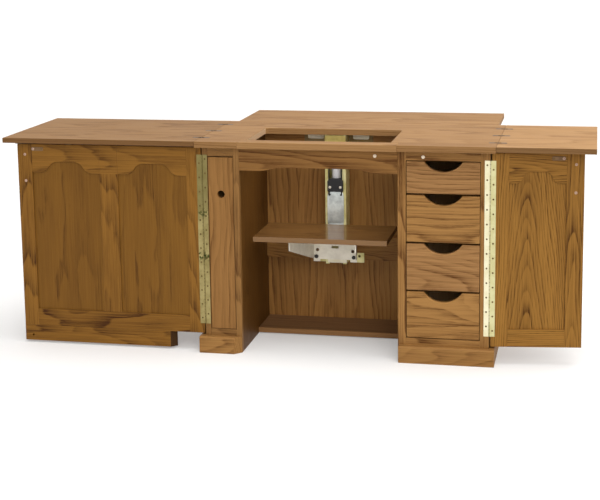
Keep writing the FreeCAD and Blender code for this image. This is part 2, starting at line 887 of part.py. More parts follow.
def make_door(side, label, stile, muntin):
    """A frame-and-panel door drawn beside its hinge axis, opened flat: x grows away from the axis
    for the right door and falls for the left one, and y is the depth behind the axis."""
    width = "right_door_width" if side > 0 else "left_door_width"
    y = ("hinge_offset", "hinge_offset + door_thickness")
    z = ("door_low", "door_top")

    def across(near, far):
        return (near, far) if side > 0 else (f"-({far})", f"-({near})")

    rail_top = "door_low + door_bottom_rail"
    lanes = [("door_edge_gap + " + stile, f"{width} - {stile}")]
    if muntin:
        half = f"(door_edge_gap + {width}) / 2"
        lanes = [
            ("door_edge_gap + " + stile, f"{half} - door_muntin / 2"),
            (f"{half} + door_muntin / 2", f"{width} - {stile}"),
        ]
    wood = [
        box(f"{label}_hinge_stile", across("door_edge_gap", lanes[0][0]), y, z),
        box(f"{label}_free_stile", across(lanes[-1][1], width), y, z),
        box(
            f"{label}_low_rail",
            across(lanes[0][0], lanes[-1][1]),
            y,
            ("door_low", rail_top),
        ),
    ]
    if muntin:
        wood.append(
            box(
                f"{label}_muntin",
                across(lanes[0][1], lanes[1][0]),
                y,
                (rail_top, "door_top"),
            )
        )
    tongue = "(door_groove - door_panel_gap)"
    rooms = []
    panels = []
    for number, (near, far) in enumerate(lanes):
        low_x, high_x = across(near, far)
        wood.append(
            arched_rail(f"{label}_rail_{number}", low_x, high_x, y[0], "door_thickness")
        )
        high = "door_top - door_arch_drop / 2"
        rooms.append(panel_room(f"{label}_room_{number}", low_x, high_x, rail_top, high))
        panels.append(
            box(
                f"{label}_panel_{number}",
                (f"{low_x} - {tongue}", f"{high_x} + {tongue}"),
                (
                    "hinge_offset + (door_thickness - door_panel) / 2",
                    "hinge_offset + (door_thickness + door_panel) / 2",
                ),
                (f"{rail_top} - door_groove", "door_top - door_arch_drop / 2 - door_panel_gap"),
            )
        )
    pieces = []
    for piece in wood:
        room = rooms[0] if len(rooms) == 1 else group(f"{piece.Name}_rooms", rooms)
        result = doc.addObject("Part::Cut", f"{piece.Name}_grooved")
        result.Base = piece
        result.Tool = room
        pieces.append(result)
    swing(publish(group(f"{label}_frame_group", pieces), f"{label}_frame"), side)
    swing(
        publish(
            group(f"{label}_panel_group", panels),
            f"{label}_panels" if muntin else f"{label}_panel",
        ),
        side,
    )
    make_door_fittings(side, label, width, across)
    make_hinge_leaf(side, label, True)
    if side < 0:
        make_skirt(width, across)


def swing(obj, side):
    """Puts a door's piece on its hinge axis, the right door opened a little past flat."""
    axis = FreeCAD.Vector(0, 0, 1)
    obj.Placement = FreeCAD.Placement(Vector(), FreeCAD.Rotation(axis, 0))
    place(obj, "face_right" if side > 0 else "face_left", "hinge_y")
    if side > 0:
        obj.Placement.Rotation = FreeCAD.Rotation(axis, 1)
        bind(obj, "Placement.Rotation.Angle", "door_rest_angle")
    return obj


def make_skirt(width, across):
    """The board below the left door that closes the kneehole's foot; its mitred end clears the
    left plinth and a dark hole takes the floor stop."""
    inner = "left_column_width + skirt_gap - hinge_offset * 2"
    outline = outline_body(
        "skirt_plan",
        "XY_Plane",
        [
            (f"-({inner})", "hinge_offset"),
            (f"-({inner}) + door_thickness", "hinge_offset + door_thickness"),
            (f"-({width})", "hinge_offset + door_thickness"),
            (f"-({width})", "hinge_offset"),
        ],
        "door_low - skirt_lift",
    )
    place(outline, "0", "0", "skirt_lift")
    hole = rod(
        "stop_hole",
        "y",
        (f"-({width} - stop_hole_inset)", "hinge_offset - overrun", "stop_hole_height"),
        "stop_hole_radius",
        "door_thickness / 2 + overrun",
    )
    swing(publish(cut("skirt", outline, [hole]), "left_door_skirt"), -1)


def make_door_fittings(side, label, width, across):
    """Strike plate and pull screws on the inner face, and the pull on the outer face."""
    strike_at = "left_magnet_place" if side < 0 else "right_magnet_place"
    z = "top_under - strip_drop / 2 - magnet_drop / 2"
    strike = box(
        f"{label}_strike",
        across(f"{strike_at} - strike_width / 2", f"{strike_at} + strike_width / 2"),
        ("hinge_offset - strike_thickness", "hinge_offset"),
        (f"{z} - strike_height / 2", f"{z} + strike_height / 2"),
    )
    pull_x = across(f"{width} - pull_inset", f"{width} - pull_inset")[0]
    fittings = [strike]
    posts = []
    for k in range(2):
        height = f"door_top - pull_drop - {k} * pull_spacing"
        fittings.append(
            rod(
                f"{label}_pull_screw_{k}",
                "y",
                (pull_x, "hinge_offset - screw_head", height),
                "screw_radius",
                "screw_head",
            )
        )
        posts.append(
            rod(
                f"{label}_pull_post_{k}",
                "y",
                (pull_x, "hinge_offset + door_thickness", height),
                "pull_radius",
                "pull_reach",
            )
        )
    bar = rod(
        f"{label}_pull_bar",
        "z",
        (
            pull_x,
            "hinge_offset + door_thickness + pull_reach - pull_radius",
            "door_top - pull_drop - pull_spacing - 2 * pull_radius",
        ),
        "pull_radius",
        "pull_spacing + 4 * pull_radius",
    )
    swing(publish(join(f"{label}_pull_joined", posts + [bar]), f"{label}_pull"), side)
    for k in range(int(SIZES["hinge_hole_count"])):
        fittings.append(hinge_screw(side, label, k, True))
    swing(publish(group(f"{label}_fittings_group", fittings), f"{label}_fittings"), side)


def hinge_hole_x(side, on_door):
    """Screw row at the middle of a hinge leaf, beside the barrel."""
    outward = side if on_door else -side
    sign = "" if outward > 0 else "-"
    return f"{sign}((hinge_leaf_width + hinge_barrel_radius) / 2)"


def hinge_hole_z(k, on_door):
    """The door's screws are staggered against the frame's."""
    share = "door_hole_share" if on_door else "frame_hole_share"
    return f"hinge_low + hinge_pitch * ({k} + {share})"


def hinge_screw(side, label, k, on_door):
    """A countersunk screw's head, flush in its hole."""
    y = "hinge_offset - hinge_leaf_thickness"
    return rod(
        f"{label}_{'door' if on_door else 'frame'}_hinge_screw_{k}",
        "y",
        (hinge_hole_x(side, on_door), y, hinge_hole_z(k, on_door)),
        "hinge_hole_radius - fit",
        "hinge_leaf_thickness",
    )


def make_hinge_leaf(side, label, on_door):
    """One leaf of a continuous hinge: a strip with a screw row and every other knuckle."""
    tag = f"{label}_{'door' if on_door else 'frame'}"
    outward = side if on_door else -side
    near, far = "hinge_barrel_radius * hinge_strip_share", "hinge_leaf_width"
    x = (near, far) if outward > 0 else (f"-({far})", f"-({near})")
    top = "hinge_low + hinge_length"
    y = ("hinge_offset - hinge_leaf_thickness", "hinge_offset")
    strip = box(f"{tag}_strip", x, y, ("hinge_low", top))
    knuckles = []
    rooms = []
    count = int(SIZES["hinge_hole_count"])
    for k in range(count):
        low = f"hinge_low + hinge_pitch * {k}"
        if (k % 2 == 0) == on_door:
            knuckles.append(
                rod(
                    f"{tag}_knuckle_{k}",
                    "z",
                    ("0", "0", f"{low} + fit / 2"),
                    "hinge_barrel_radius",
                    "hinge_pitch - fit",
                )
            )
        else:
            reach = "hinge_barrel_radius + fit"
            rooms.append(
                rod(f"{tag}_room_{k}", "z", ("0", "0", low), reach, "hinge_pitch")
            )
    bore = rod(
        f"{tag}_bore",
        "z",
        ("0", "0", "hinge_low - overrun"),
        "hinge_bore_radius",
        "hinge_length + 2 * overrun",
    )
    holes = [
        rod(
            f"{tag}_hole_{k}",
            "y",
            (hinge_hole_x(side, on_door), "hinge_offset - overrun", hinge_hole_z(k, on_door)),
            "hinge_hole_radius",
            "2 * overrun",
        )
        for k in range(count)
    ]
    plate = cut(f"{tag}_plate_cut", strip, rooms)
    solid = join(f"{tag}_leaf_joined", [plate] + knuckles)
    return cut(f"{tag}_leaf", solid, [bore] + holes)


def make_drawer(number, low, height, box_drop):
    """A scooped front on a box of four sides and a bottom, with its half of each slide."""
    label = f"drawer_{number}"
    top = f"({low}) + ({height})"
    left, right, middle = "drawer_left", "drawer_right", "drawer_middle"
    half = "scoop_chord / 2"
    points = [
        (left, low),
        (right, low),
        (right, top),
        (f"{middle} + {half}", top),
        (f"{middle} - {half}", top),
        (left, top),
    ]
    front = front_board(f"{label}_board", points, "face_y", "board", {3: (-1, "scoop_radius")})
    publish(front, f"{label}_front")
    base = f"({low}) + drawer_box_lift"
    rim = f"{top} - ({box_drop})"
    y0, y1 = "frame_back", "frame_back + drawer_box_depth"
    wall = "drawer_box_wall"
    inner_y = (f"{y0} + {wall}", f"{y1} - {wall}")
    z = (base, rim)
    pieces = [
        box(f"{label}_left", ("box_left", f"box_left + {wall}"), (y0, y1), z),
        box(f"{label}_right", (f"box_right - {wall}", "box_right"), (y0, y1), z),
        box(f"{label}_fore", (f"box_left + {wall}", f"box_right - {wall}"), (y0, inner_y[0]), z),
        box(f"{label}_rear", (f"box_left + {wall}", f"box_right - {wall}"), (inner_y[1], y1), z),
        box(
            f"{label}_floor",
            (f"box_left + {wall}", f"box_right - {wall}"),
            inner_y,
            (base, f"{base} + drawer_bottom"),
        ),
    ]
    slide_z = (f"{base} + {wall}", f"{base} + {wall} + slide_height")
    pieces.append(
        box(f"{label}_slide_left", ("box_left - slide_width", "box_left"), (y0, y1), slide_z)
    )
    pieces.append(
        box(f"{label}_slide_right", ("box_right", "box_right + slide_width"), (y0, y1), slide_z)
    )
    publish(group(f"{label}_box_group", pieces), f"{label}_box")
    runner_y = ("post_back", "back_y")
    return [
        box(
            f"{label}_runner_left",
            ("kneehole_right + board", "box_left - slide_width - slide_gap"),
            runner_y,
            slide_z,
        ),
        box(
            f"{label}_runner_right",
            ("box_right + slide_width + slide_gap", "face_right"),
            runner_y,
            slide_z,
        ),
    ]


def make_drawers():
    runners = []
    step = "(drawer_height + drawer_gap)"
    for number in range(1, 5):
        low = f"drawer_low + {4 - number} * {step}"
        if number == 1:
            runners += make_drawer(number, low, "top_drawer_height", "top_drawer_box_drop")
        else:
            runners += make_drawer(number, low, "drawer_height", "drawer_box_drop")
    runners.append(
        box(
            "rack_runner",
            ("rack_left + rack_wall", "rack_left + rack_width - rack_wall"),
            ("post_back", "back_y"),
            ("plinth_height", "rack_bottom - slide_gap"),
        )
    )
    publish(group("runner_group", runners), "drawer_runners")


def make_pull_out():
    """The narrow pull-out: a front with a finger hole on a rack of small shelves."""
    front = box(
        "pull_out_board",
        ("pull_out_left", "pull_out_right"),
        ("face_y", "frame_back"),
        ("pull_out_low", "pull_out_high"),
    )
    hole = rod(
        "finger_hole",
        "y",
        ("pull_out_middle", "face_y - overrun", "finger_hole_height"),
        "finger_hole_radius",
        "board + 2 * overrun",
    )
    publish(cut("pull_out_drilled", front, [hole]), "pull_out_front")
    y0, y1 = "frame_back", "frame_back + rack_depth"
    inner_x = ("rack_left + rack_wall", "rack_left + rack_width")
    z = ("rack_bottom", "rack_top")
    pieces = [
        box("rack_side", ("rack_left", "rack_left + rack_wall"), (y0, y1), z),
        box("rack_end", inner_x, (f"{y1} - rack_wall", y1), z),
    ]
    count = int(SIZES["rack_shelf_count"])
    for k in range(count):
        low = f"rack_bottom + {k} * (rack_top - rack_bottom) / rack_shelf_count"
        pieces.append(
            box(
                f"rack_shelf_{k}",
                inner_x,
                (y0, f"{y1} - rack_wall"),
                (low, f"{low} + rack_shelf"),
            )
        )
    publish(group("rack_group", pieces), "pull_out_rack")


def make_lift():
    """Track, gas cylinder, block, cover, platform and the welded carriage that carries it."""
    wall = "track_wall"
    y = ("track_front", "rail_face")
    outer = box("track_outer", ("track_left", "track_right"), y, ("track_low", "top_under"))
    z = ("track_low - overrun", "top_under + overrun")
    hollow = box(
        "track_hollow",
        (f"track_left + {wall}", f"track_right - {wall}"),
        (f"track_front + {wall}", f"rail_face - {wall}"),
        z,
    )
    mouth = box(
        "track_mouth",
        ("track_left + track_lip", "track_right - track_lip"),
        ("track_front - overrun", "rail_face - track_depth / 2"),
        z,
    )
    channel = cut("track_channel", outer, [join("track_room", [hollow, mouth])])
    ears = []
    ear_y = (f"rail_face - {wall}", "rail_face")
    ear_z = ("top_under - ear_height", "top_under")
    low_z = ("low_ear_low", "low_ear_low + ear_height")
    for tag, width, span in (("high", "ear_width", ear_z), ("low", "low_ear_width", low_z)):
        ears.append(box(f"ear_{tag}_left", (f"track_left - {width}", "track_left"), ear_y, span))
        ears.append(box(f"ear_{tag}_right", ("track_right", f"track_right + {width}"), ear_y, span))
    publish(group("track_group", [channel] + ears), "lift_track")
    publish(
        rod(
            "gas_cylinder",
            "z",
            ("lift_x", f"track_front + cylinder_inset + cylinder_radius", "cylinder_low"),
            "cylinder_radius",
            "top_under - cylinder_low",
        ),
        "lift_cylinder",
    )
    chamfer = "block_chamfer"
    x0, x1 = "lift_x - block_width / 2", "lift_x + block_width / 2"
    block = front_board(
        "block_board",
        [
            (x0, "block_low"),
            (x1, "block_low"),
            (x1, f"cylinder_low - {chamfer}"),
            (f"{x1} - {chamfer}", "cylinder_low"),
            (f"{x0} + {chamfer}", "cylinder_low"),
            (x0, f"cylinder_low - {chamfer}"),
        ],
        "block_front",
        "block_thickness",
    )
    rear_pad = box(
        "block_rear",
        ("lift_x - cylinder_radius", "lift_x + cylinder_radius"),
        ("track_front - overrun", "track_front + cylinder_inset + 2 * cylinder_radius"),
        ("block_low", "cylinder_low"),
    )
    publish(join("block_joined", [block, rear_pad]), "lift_block")
    publish(
        box(
            "cover",
            ("lift_x - cover_width / 2", "lift_x + cover_width / 2"),
            ("cover_front", "track_front"),
            ("cover_low", "block_low"),
        ),
        "lift_cover_plate",
    )
    platform_x = ("platform_left", "platform_left + platform_width")
    publish(
        box(
            "platform_board",
            platform_x,
            ("platform_y", "platform_y + platform_depth"),
            ("platform_low", "platform_height"),
        ),
        "lift_platform",
    )
    make_carriage()


def make_carriage():
    plate = box(
        "carriage_plate_board",
        ("carriage_left", "carriage_right"),
        ("plate_front", "plate_back"),
        ("carriage_low", "platform_low"),
    )
    slot = box(
        "carriage_slot",
        ("lift_x - slot_width / 2", "lift_x + slot_width / 2"),
        ("plate_front - overrun", "plate_back + overrun"),
        ("carriage_low + slot_low", "carriage_low + slot_low + slot_height"),
    )
    pieces = [cut("carriage_slotted", plate, [slot])]
    for side in (-1, 1):
        tag = "left" if side < 0 else "right"
        if side < 0:
            shoe_x = ("track_left - fit - shoe_width", "track_left - fit")
            tab_x = ("carriage_left", "carriage_left + tab_width")
        else:
            shoe_x = ("track_right + fit", "track_right + fit + shoe_width")
            tab_x = ("carriage_right - tab_width", "carriage_right")
        pieces.append(
            box(
                f"carriage_shoe_{tag}",
                shoe_x,
                ("plate_front", "plate_back + shoe_reach"),
                ("carriage_low", "platform_low - shoe_drop"),
            )
        )
        pieces.append(
            box(
                f"carriage_tab_{tag}",
                tab_x,
                ("plate_front", "plate_back"),
                ("carriage_low - tab_drop", "carriage_low"),
            )
        )
        pieces.append(carriage_arm(side, tag))
    publish(join("carriage_joined", pieces), "lift_carriage")


def carriage_arm(side, tag):
    """A tapered arm with a flange under the platform, drawn towards the front from the plate's
    end and then spread outwards."""
    web = outline_body(
        f"arm_web_{tag}",
        "YZ_Plane",
        [
            ("0", "carriage_low"),
            ("0", "platform_low"),
            ("-arm_length", "platform_low"),
            ("-arm_length", "platform_low - arm_tip_height"),
        ],
        "arm_thickness",
    )
    low_x = "-arm_thickness" if side > 0 else "0"
    place(web, low_x)
    if side > 0:
        flange_x = ("-arm_flange", "0")
    else:
        flange_x = ("0", "arm_flange")
    flange = box(
        f"arm_flange_{tag}",
        flange_x,
        ("-arm_length", "0"),
        ("platform_low - arm_thickness", "platform_low"),
    )
    arm = join(f"arm_{tag}", [web, flange])
    edge = "carriage_left" if side < 0 else "carriage_right"
    arm.Placement = FreeCAD.Placement(Vector(), FreeCAD.Rotation(Vector(0, 0, side), 1))
    place(arm, edge, "plate_back - arm_thickness")
    bind(arm, "Placement.Rotation.Angle", "arm_spread_angle")
    return arm


def make_rear_leaf():
    x = ("rear_left", "rear_right")
    publish(
        box("rear_board", x, ("rear_front", "rear_back"), ("rear_low", "desk_height")),
        "rear_leaf",
    )
    fixed = []
    moving = []
    for k, middle in enumerate(
        ("rear_left + butt_inset", "(rear_left + rear_right) / 2", "rear_right - butt_inset")
    ):
        span = (f"({middle}) - butt_length / 2", f"({middle}) + butt_length / 2")
        third = "butt_length / 3"
        fixed_plate = box(
            f"butt_fixed_plate_{k}",
            span,
            ("rear_hinge_y - butt_reach", "rear_hinge_y"),
            ("top_under - butt_plate", "top_under"),
        )
        moving_plate = box(
            f"butt_moving_plate_{k}",
            span,
            ("rear_hinge_y", "rear_hinge_y + butt_reach"),
            ("rear_low - butt_plate", "rear_low"),
        )
        axis = ("rear_hinge_y", "rear_hinge_z")
        near = ("rear_hinge_y - butt_barrel_radius - fit", "rear_hinge_y + butt_barrel_radius + fit")
        deep = ("rear_hinge_z - 2 * butt_barrel_radius", "rear_low + overrun")
        outer = [
            rod(f"butt_outer_{k}_{e}", "x", (start, *axis), "butt_barrel_radius", f"{third} - fit")
            for e, start in enumerate((span[0], f"{span[1]} - {third} + fit"))
        ]
        outer_room = [
            box(f"butt_room_{k}_{e}", (start, f"{start} + {third}"), near, deep)
            for e, start in enumerate((span[0], f"{span[1]} - {third}"))
        ]
        inner = rod(
            f"butt_inner_{k}",
            "x",
            (f"{span[0]} + {third}", *axis),
            "butt_barrel_radius",
            third,
        )
        inner_room = box(
            f"butt_inner_room_{k}",
            (f"{span[0]} + {third} - fit", f"{span[1]} - {third} + fit"),
            near,
            deep,
        )
        bore = rod(
            f"butt_bore_{k}",
            "x",
            (f"{span[0]} - overrun", *axis),
            "butt_bore_radius",
            "butt_length + 2 * overrun",
        )
        pin = rod(f"butt_pin_{k}", "x", (span[0], *axis), "butt_pin_radius", "butt_length")
        fixed_body = join(
            f"butt_fixed_{k}", [cut(f"butt_fixed_cut_{k}", fixed_plate, [inner_room])] + outer
        )
        web = box(
            f"butt_web_{k}",
            (f"{span[0]} + {third}", f"{span[1]} - {third}"),
            ("rear_hinge_y", "rear_hinge_y + butt_barrel_radius"),
            ("rear_hinge_z", "rear_low"),
        )
        moving_body = join(
            f"butt_moving_{k}",
            [cut(f"butt_moving_cut_{k}", moving_plate, outer_room), web, inner],
        )
        fixed.append(cut(f"butt_fixed_bored_{k}", fixed_body, [bore]))
        fixed.append(pin)
        moving.append(cut(f"butt_moving_bored_{k}", moving_body, [bore]))
    publish(group("rear_fixed_group", fixed), "rear_hinge_plates")
    make_stays(moving)


def make_stays(moving):
    """Two stays that hold the rear leaf up, each leaning at 45 degrees on a rest on the back."""
    stays = []
    rests = []
    for tag, middle in (("a", "rear_left + stay_inset"), ("b", "rear_right - stay_inset")):
        half = "stay_width / 2"
        cheeks = [
            box(
                f"cheek_{tag}_{e}",
                x,
                ("stay_y - stay_bracket / 2", "stay_y + stay_bracket / 2"),
                ("stay_z - stay_thickness / 2", "rear_low"),
            )
            for e, x in enumerate(
                (
                    (f"{middle} - {half} - fit - butt_plate", f"{middle} - {half} - fit"),
                    (f"{middle} + {half} + fit", f"{middle} + {half} + fit + butt_plate"),
                )
            )
        ]
        pin = rod(
            f"stay_pin_{tag}",
            "x",
            (f"{middle} - {half} - fit - butt_plate", "stay_y", "stay_z"),
            "stay_pin_radius",
            "stay_width + 2 * fit + 2 * butt_plate",
        )
        moving.append(join(f"stay_bracket_{tag}", cheeks + [pin]))
        bar = box(
            f"stay_bar_{tag}",
            (f"-{half}", half),
            ("-stay_length", "stay_thickness / 2"),
            ("-stay_thickness / 2", "stay_thickness / 2"),
        )
        eye = rod(
            f"stay_bore_{tag}",
            "x",
            ("-stay_width", "0", "0"),
            "stay_bore_radius",
            "2 * stay_width",
        )
        stay = cut(f"stay_{tag}", bar, [eye])
        stay.Placement = FreeCAD.Placement(Vector(), FreeCAD.Rotation(Vector(1, 0, 0), 45))
        place(stay, middle, "stay_y", "stay_z")
        stays.append(stay)
        rests.append(
            box(
                f"stay_rest_{tag}",
                (f"{middle} - stay_width", f"{middle} + stay_width"),
                ("back_outer", "back_outer + stay_rest_depth"),
                ("stay_foot_z - stay_rest_height / 2", "stay_foot_z + stay_rest_height / 2"),
            )
        )
    publish(group("moving_butts", moving), "rear_leaf_hinges")
    publish(group("stay_group", stays), "rear_stays")
    publish(group("rest_group", rests), "stay_rests")


def make_frame_hardware():
    """Hinge leaves, pins, screws and magnets that stay with the cabinet."""
    screws = []
    pins = []
    for side, label in ((-1, "left_hinge"), (1, "right_hinge")):
        leaf = make_hinge_leaf(side, label, False)
        publish(leaf, f"{label}_plate")
        base = "face_right" if side > 0 else "face_left"
        place(leaf, base, "hinge_y")
        for k in range(int(SIZES["hinge_hole_count"])):
            screw = hinge_screw(side, label, k, False)
            x = hinge_hole_x(side, False)
            place(screw, f"{base} + {x}", "face_y - hinge_leaf_thickness", hinge_hole_z(k, False))
            screws.append(screw)
        pins.append(
            rod(f"{label}_pin", "z", (base, "hinge_y", "hinge_low"), "hinge_pin_radius", "hinge_length")
        )
    publish(group("pin_group", pins), "hinge_pins")
    ear_x = "track_width / 2 + ear_width * ear_screw_share"
    low_x = "track_width / 2 + low_ear_width * ear_screw_share"
    spots = [
        (f"lift_x - ({ear_x})", "top_under - ear_height * (1 - ear_screw_share)"),
        (f"lift_x + ({ear_x})", "top_under - ear_height * (1 - ear_screw_share)"),
        (f"lift_x - ({low_x})", "low_ear_low + ear_height * ear_screw_share"),
        (f"lift_x + ({low_x})", "low_ear_low + ear_height * ear_screw_share"),
    ]
    for number, (x, z) in enumerate(spots):
        screws.append(
            rod(
                f"ear_screw_{number}",
                "y",
                (x, "rail_face - track_wall - screw_head", z),
                "screw_radius",
                "screw_head",
            )
        )
    for number, sign in enumerate(("-", "+")):
        screws.append(
            rod(
                f"block_screw_{number}",
                "y",
                (
                    f"lift_x {sign} block_width / 3",
                    "block_front - screw_head",
                    "block_low + block_height / 3",
                ),
                "screw_radius",
                "screw_head",
            )
        )
    publish(group("screw_group", screws), "cabinet_screws")
    z = "top_under - strip_drop / 2 - magnet_drop / 2"
    magnets = [
        rod(
            f"magnet_{tag}",
            "y",
            (x, "face_y - magnet_length", z),
            "magnet_radius",
            "magnet_length",
        )
        for tag, x in (
            ("left", "face_left + left_magnet_place"),
            ("right", "face_right - right_magnet_place"),
        )
    ]
    publish(group("magnet_group", magnets), "door_magnets")
    halves = [hinge_half(side, k, True) for side in (-1, 1) for k in range(3)]
    publish(group("top_hinge_group", halves), "top_hinge_plates")


def make_cleats():
    """Square cleats that tie the top to the inner panels and the side panels."""
    y = ("post_back", "rail_face")
    z = ("top_under - cleat", "top_under")
    spans = (
        ("face_left", "face_left + cleat"),
        ("kneehole_left - board - cleat", "kneehole_left - board"),
        ("kneehole_right + board", "kneehole_right + board + cleat"),
        ("face_right - cleat", "face_right"),
    )
    cleats = [box(f"cleat_{i}", x, y, z) for i, x in enumerate(spans)]
    publish(group("cleat_group", cleats), "top_cleats")


make_top()
make_cabinet()
make_plinths()
make_apron()
make_cleats()
make_side_leaf(-1, "left_leaf")
make_side_leaf(1, "right_leaf")
make_links(-1, "left_hinge_link")
make_links(1, "right_hinge_link")
make_rear_leaf()
make_door(-1, "left_door", "left_door_stile", True)
make_door(1, "right_door", "right_door_stile", False)
for door_side, door_label in ((-1, "left_door"), (1, "right_door")):
    hinge = next(o for o in doc.Objects if o.Name == f"{door_label}_door_leaf")
    swing(publish(hinge, f"{door_label}_hinge_leaf"), door_side)
make_drawers()
make_pull_out()
make_lift()
make_frame_hardware()

doc.recompute()
for obj in doc.Objects:
    if "Invalid" in obj.State or "Error" in obj.State:
        raise RuntimeError(f"{obj.Name} failed: {obj.State}")
labels = [node.Label for node in nodes]
if len(set(labels)) != len(labels):
    raise RuntimeError("two sub-parts share a label")
for node in nodes:
    if node.Shape.isNull() or not node.Shape.isValid():
        raise RuntimeError(f"{node.Label} has no valid shape")
    if not node.Shape.Solids:
        raise RuntimeError(f"{node.Label} holds no solid")

os.makedirs("parts", exist_ok=True)
for node in nodes:
    node.Shape.exportStep(os.path.join("parts", f"{node.Label}.step"))
print(f"{len(nodes)} sub-parts, {sum(len(n.Shape.Solids) for n in nodes)} solids")
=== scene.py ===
import math

import bmesh
import bpy
import numpy as np
from mathutils import Matrix, Vector


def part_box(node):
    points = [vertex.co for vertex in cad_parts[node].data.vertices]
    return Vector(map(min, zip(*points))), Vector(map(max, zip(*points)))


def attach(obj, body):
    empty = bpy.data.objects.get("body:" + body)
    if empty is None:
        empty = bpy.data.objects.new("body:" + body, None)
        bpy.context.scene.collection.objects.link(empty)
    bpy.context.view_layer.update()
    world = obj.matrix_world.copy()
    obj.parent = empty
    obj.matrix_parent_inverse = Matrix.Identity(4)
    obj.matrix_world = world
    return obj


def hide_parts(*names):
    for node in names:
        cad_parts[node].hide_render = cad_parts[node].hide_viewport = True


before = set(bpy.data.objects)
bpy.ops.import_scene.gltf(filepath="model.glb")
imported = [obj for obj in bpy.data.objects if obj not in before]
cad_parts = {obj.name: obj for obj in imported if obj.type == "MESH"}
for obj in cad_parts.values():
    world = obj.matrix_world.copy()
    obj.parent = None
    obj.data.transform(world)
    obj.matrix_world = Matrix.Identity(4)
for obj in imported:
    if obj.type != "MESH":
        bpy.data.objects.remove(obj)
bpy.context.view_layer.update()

# Lines of the desk that the small parts are placed by, in metres. DOOR_BACK is how far behind the
# hinge line an open door's near face lies, and the catches are measured from the hinge line.
FACE_LEFT = -0.3105
FACE_RIGHT = 0.6935
FACE_Y = -0.3954
HINGE_Y = -0.3980
HINGE_LOW = 0.102
HINGE_PITCH = 0.0508
HINGE_SCREWS = 12
SCREW_ASIDE = 0.01065
DOOR_TOP = 0.737
DOOR_DEPTH = 0.020
DOOR_BACK = 0.0026
RIGHT_DOOR_TURN = math.radians(7)
CATCH_HEIGHT = 0.7195
LEFT_CATCH = 0.612
RIGHT_CATCH = 0.227
TABLE_HEIGHT = 0.762
LIFT_X = 0.103
BLOCK_FRONT = -0.0774
TRACK_FRONT = -0.0654
PLATE_FRONT = -0.0874
COVER_FOOT = 0.398
EAR_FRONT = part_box("lift_track")[1][1] - 0.0025
FRONT = (0.0, -1.0, 0.0)
BACK = (0.0, 1.0, 0.0)


# joining the nodes of a material
def rgb(red, green, blue):
    """Linear colour with alpha from the 0-255 values seen on a screen."""
    screen = np.array([red, green, blue]) / 255
    linear = np.where(screen > 0.04045, ((screen + 0.055) / 1.055) ** 2.4, screen / 12.92)
    return (*[float(v) for v in linear], 1.0)


class Bench:
    """Adds and joins nodes of one tree."""

    def __init__(self, tree):
        self.tree = tree

    def add(self, kind, **settings):
        node = self.tree.nodes.new(kind)
        for key, value in settings.items():
            setattr(node, key, value)
        return node

    def feed(self, socket, value):
        """Joins a socket to the input, or sets its value."""
        if isinstance(value, bpy.types.NodeSocket):
            self.tree.links.new(value, socket)
        elif value is not None:
            socket.default_value = value

    def math(self, operation, first, second=None, third=None, clamp=False):
        node = self.add("ShaderNodeMath", operation=operation, use_clamp=clamp)
        for socket, value in zip(node.inputs, (first, second, third)):
            self.feed(socket, value)
        return node.outputs[0]

    def spread(self, value, low, high, out_low=0.0, out_high=1.0):
        """A value taken from one range to another, held at the ends, with soft shoulders."""
        node = self.add("ShaderNodeMapRange", interpolation_type="SMOOTHSTEP")
        for socket, part in zip(node.inputs, (value, low, high, out_low, out_high)):
            self.feed(socket, part)
        return node.outputs[0]

    def split(self, vector):
        node = self.add("ShaderNodeSeparateXYZ")
        self.feed(node.inputs[0], vector)
        return node.outputs

    def unite(self, x, y, z):
        node = self.add("ShaderNodeCombineXYZ")
        for socket, value in zip(node.inputs, (x, y, z)):
            self.feed(socket, value)
        return node.outputs[0]

    def noise(self, vector, scale, detail=2.0, roughness=0.5):
        node = self.add("ShaderNodeTexNoise", noise_dimensions="3D")
        self.feed(node.inputs["Vector"], vector)
        node.inputs["Scale"].default_value = scale
        node.inputs["Detail"].default_value = detail
        node.inputs["Roughness"].default_value = roughness
        return node.outputs["Fac"]

    def streaks(self, x, y, z, scales, detail):
        """Noise drawn out along one way: each coordinate is multiplied by its own scale first."""
        parts = [self.math("MULTIPLY", part, scale) for part, scale in zip((x, y, z), scales)]
        return self.noise(self.unite(*parts), 1.0, detail)

    def lean(self, value, gain, base, clamp=False):
        """A base with a value's distance from one half added, times a gain."""
        return self.math("MULTIPLY_ADD", self.math("SUBTRACT", value, 0.5), gain, base, clamp)

    def blend(self, amount, first, second):
        """Mixes two colours."""
        node = self.add("ShaderNodeMix", data_type="RGBA")
        self.feed(node.inputs[0], amount)
        self.feed(node.inputs[6], first)
        self.feed(node.inputs[7], second)
        return node.outputs[2]

    def choose(self, amount, first, second):
        """Mixes two vectors."""
        node = self.add("ShaderNodeMix", data_type="VECTOR")
        self.feed(node.inputs[0], amount)
        self.feed(node.inputs[4], first)
        self.feed(node.inputs[5], second)
        return node.outputs[1]

    def group(self, tree, **values):
        node = self.add("ShaderNodeGroup", node_tree=tree)
        for key, value in values.items():
            self.feed(node.inputs[key.replace("_", " ")], value)
        return node

    def bump(self, height, distance, strength):
        node = self.add("ShaderNodeBump")
        node.inputs["Strength"].default_value = strength
        node.inputs["Distance"].default_value = distance
        self.feed(node.inputs["Height"], height)
        return node.outputs["Normal"]


def new_group(name, inputs, outputs):
    """An empty node group with named sockets; gives its bench, group input and group output."""
    tree = bpy.data.node_groups.new(name, "ShaderNodeTree")
    for label, kind, value in inputs:
        socket = tree.interface.new_socket(label, in_out="INPUT", socket_type=kind)
        if value is not None:
            socket.default_value = value
    for label, kind in outputs:
        tree.interface.new_socket(label, in_out="OUTPUT", socket_type=kind)
    bench = Bench(tree)
    start = bench.add("NodeGroupInput")
    end = bench.add("NodeGroupOutput")
    return tree, bench, start, end


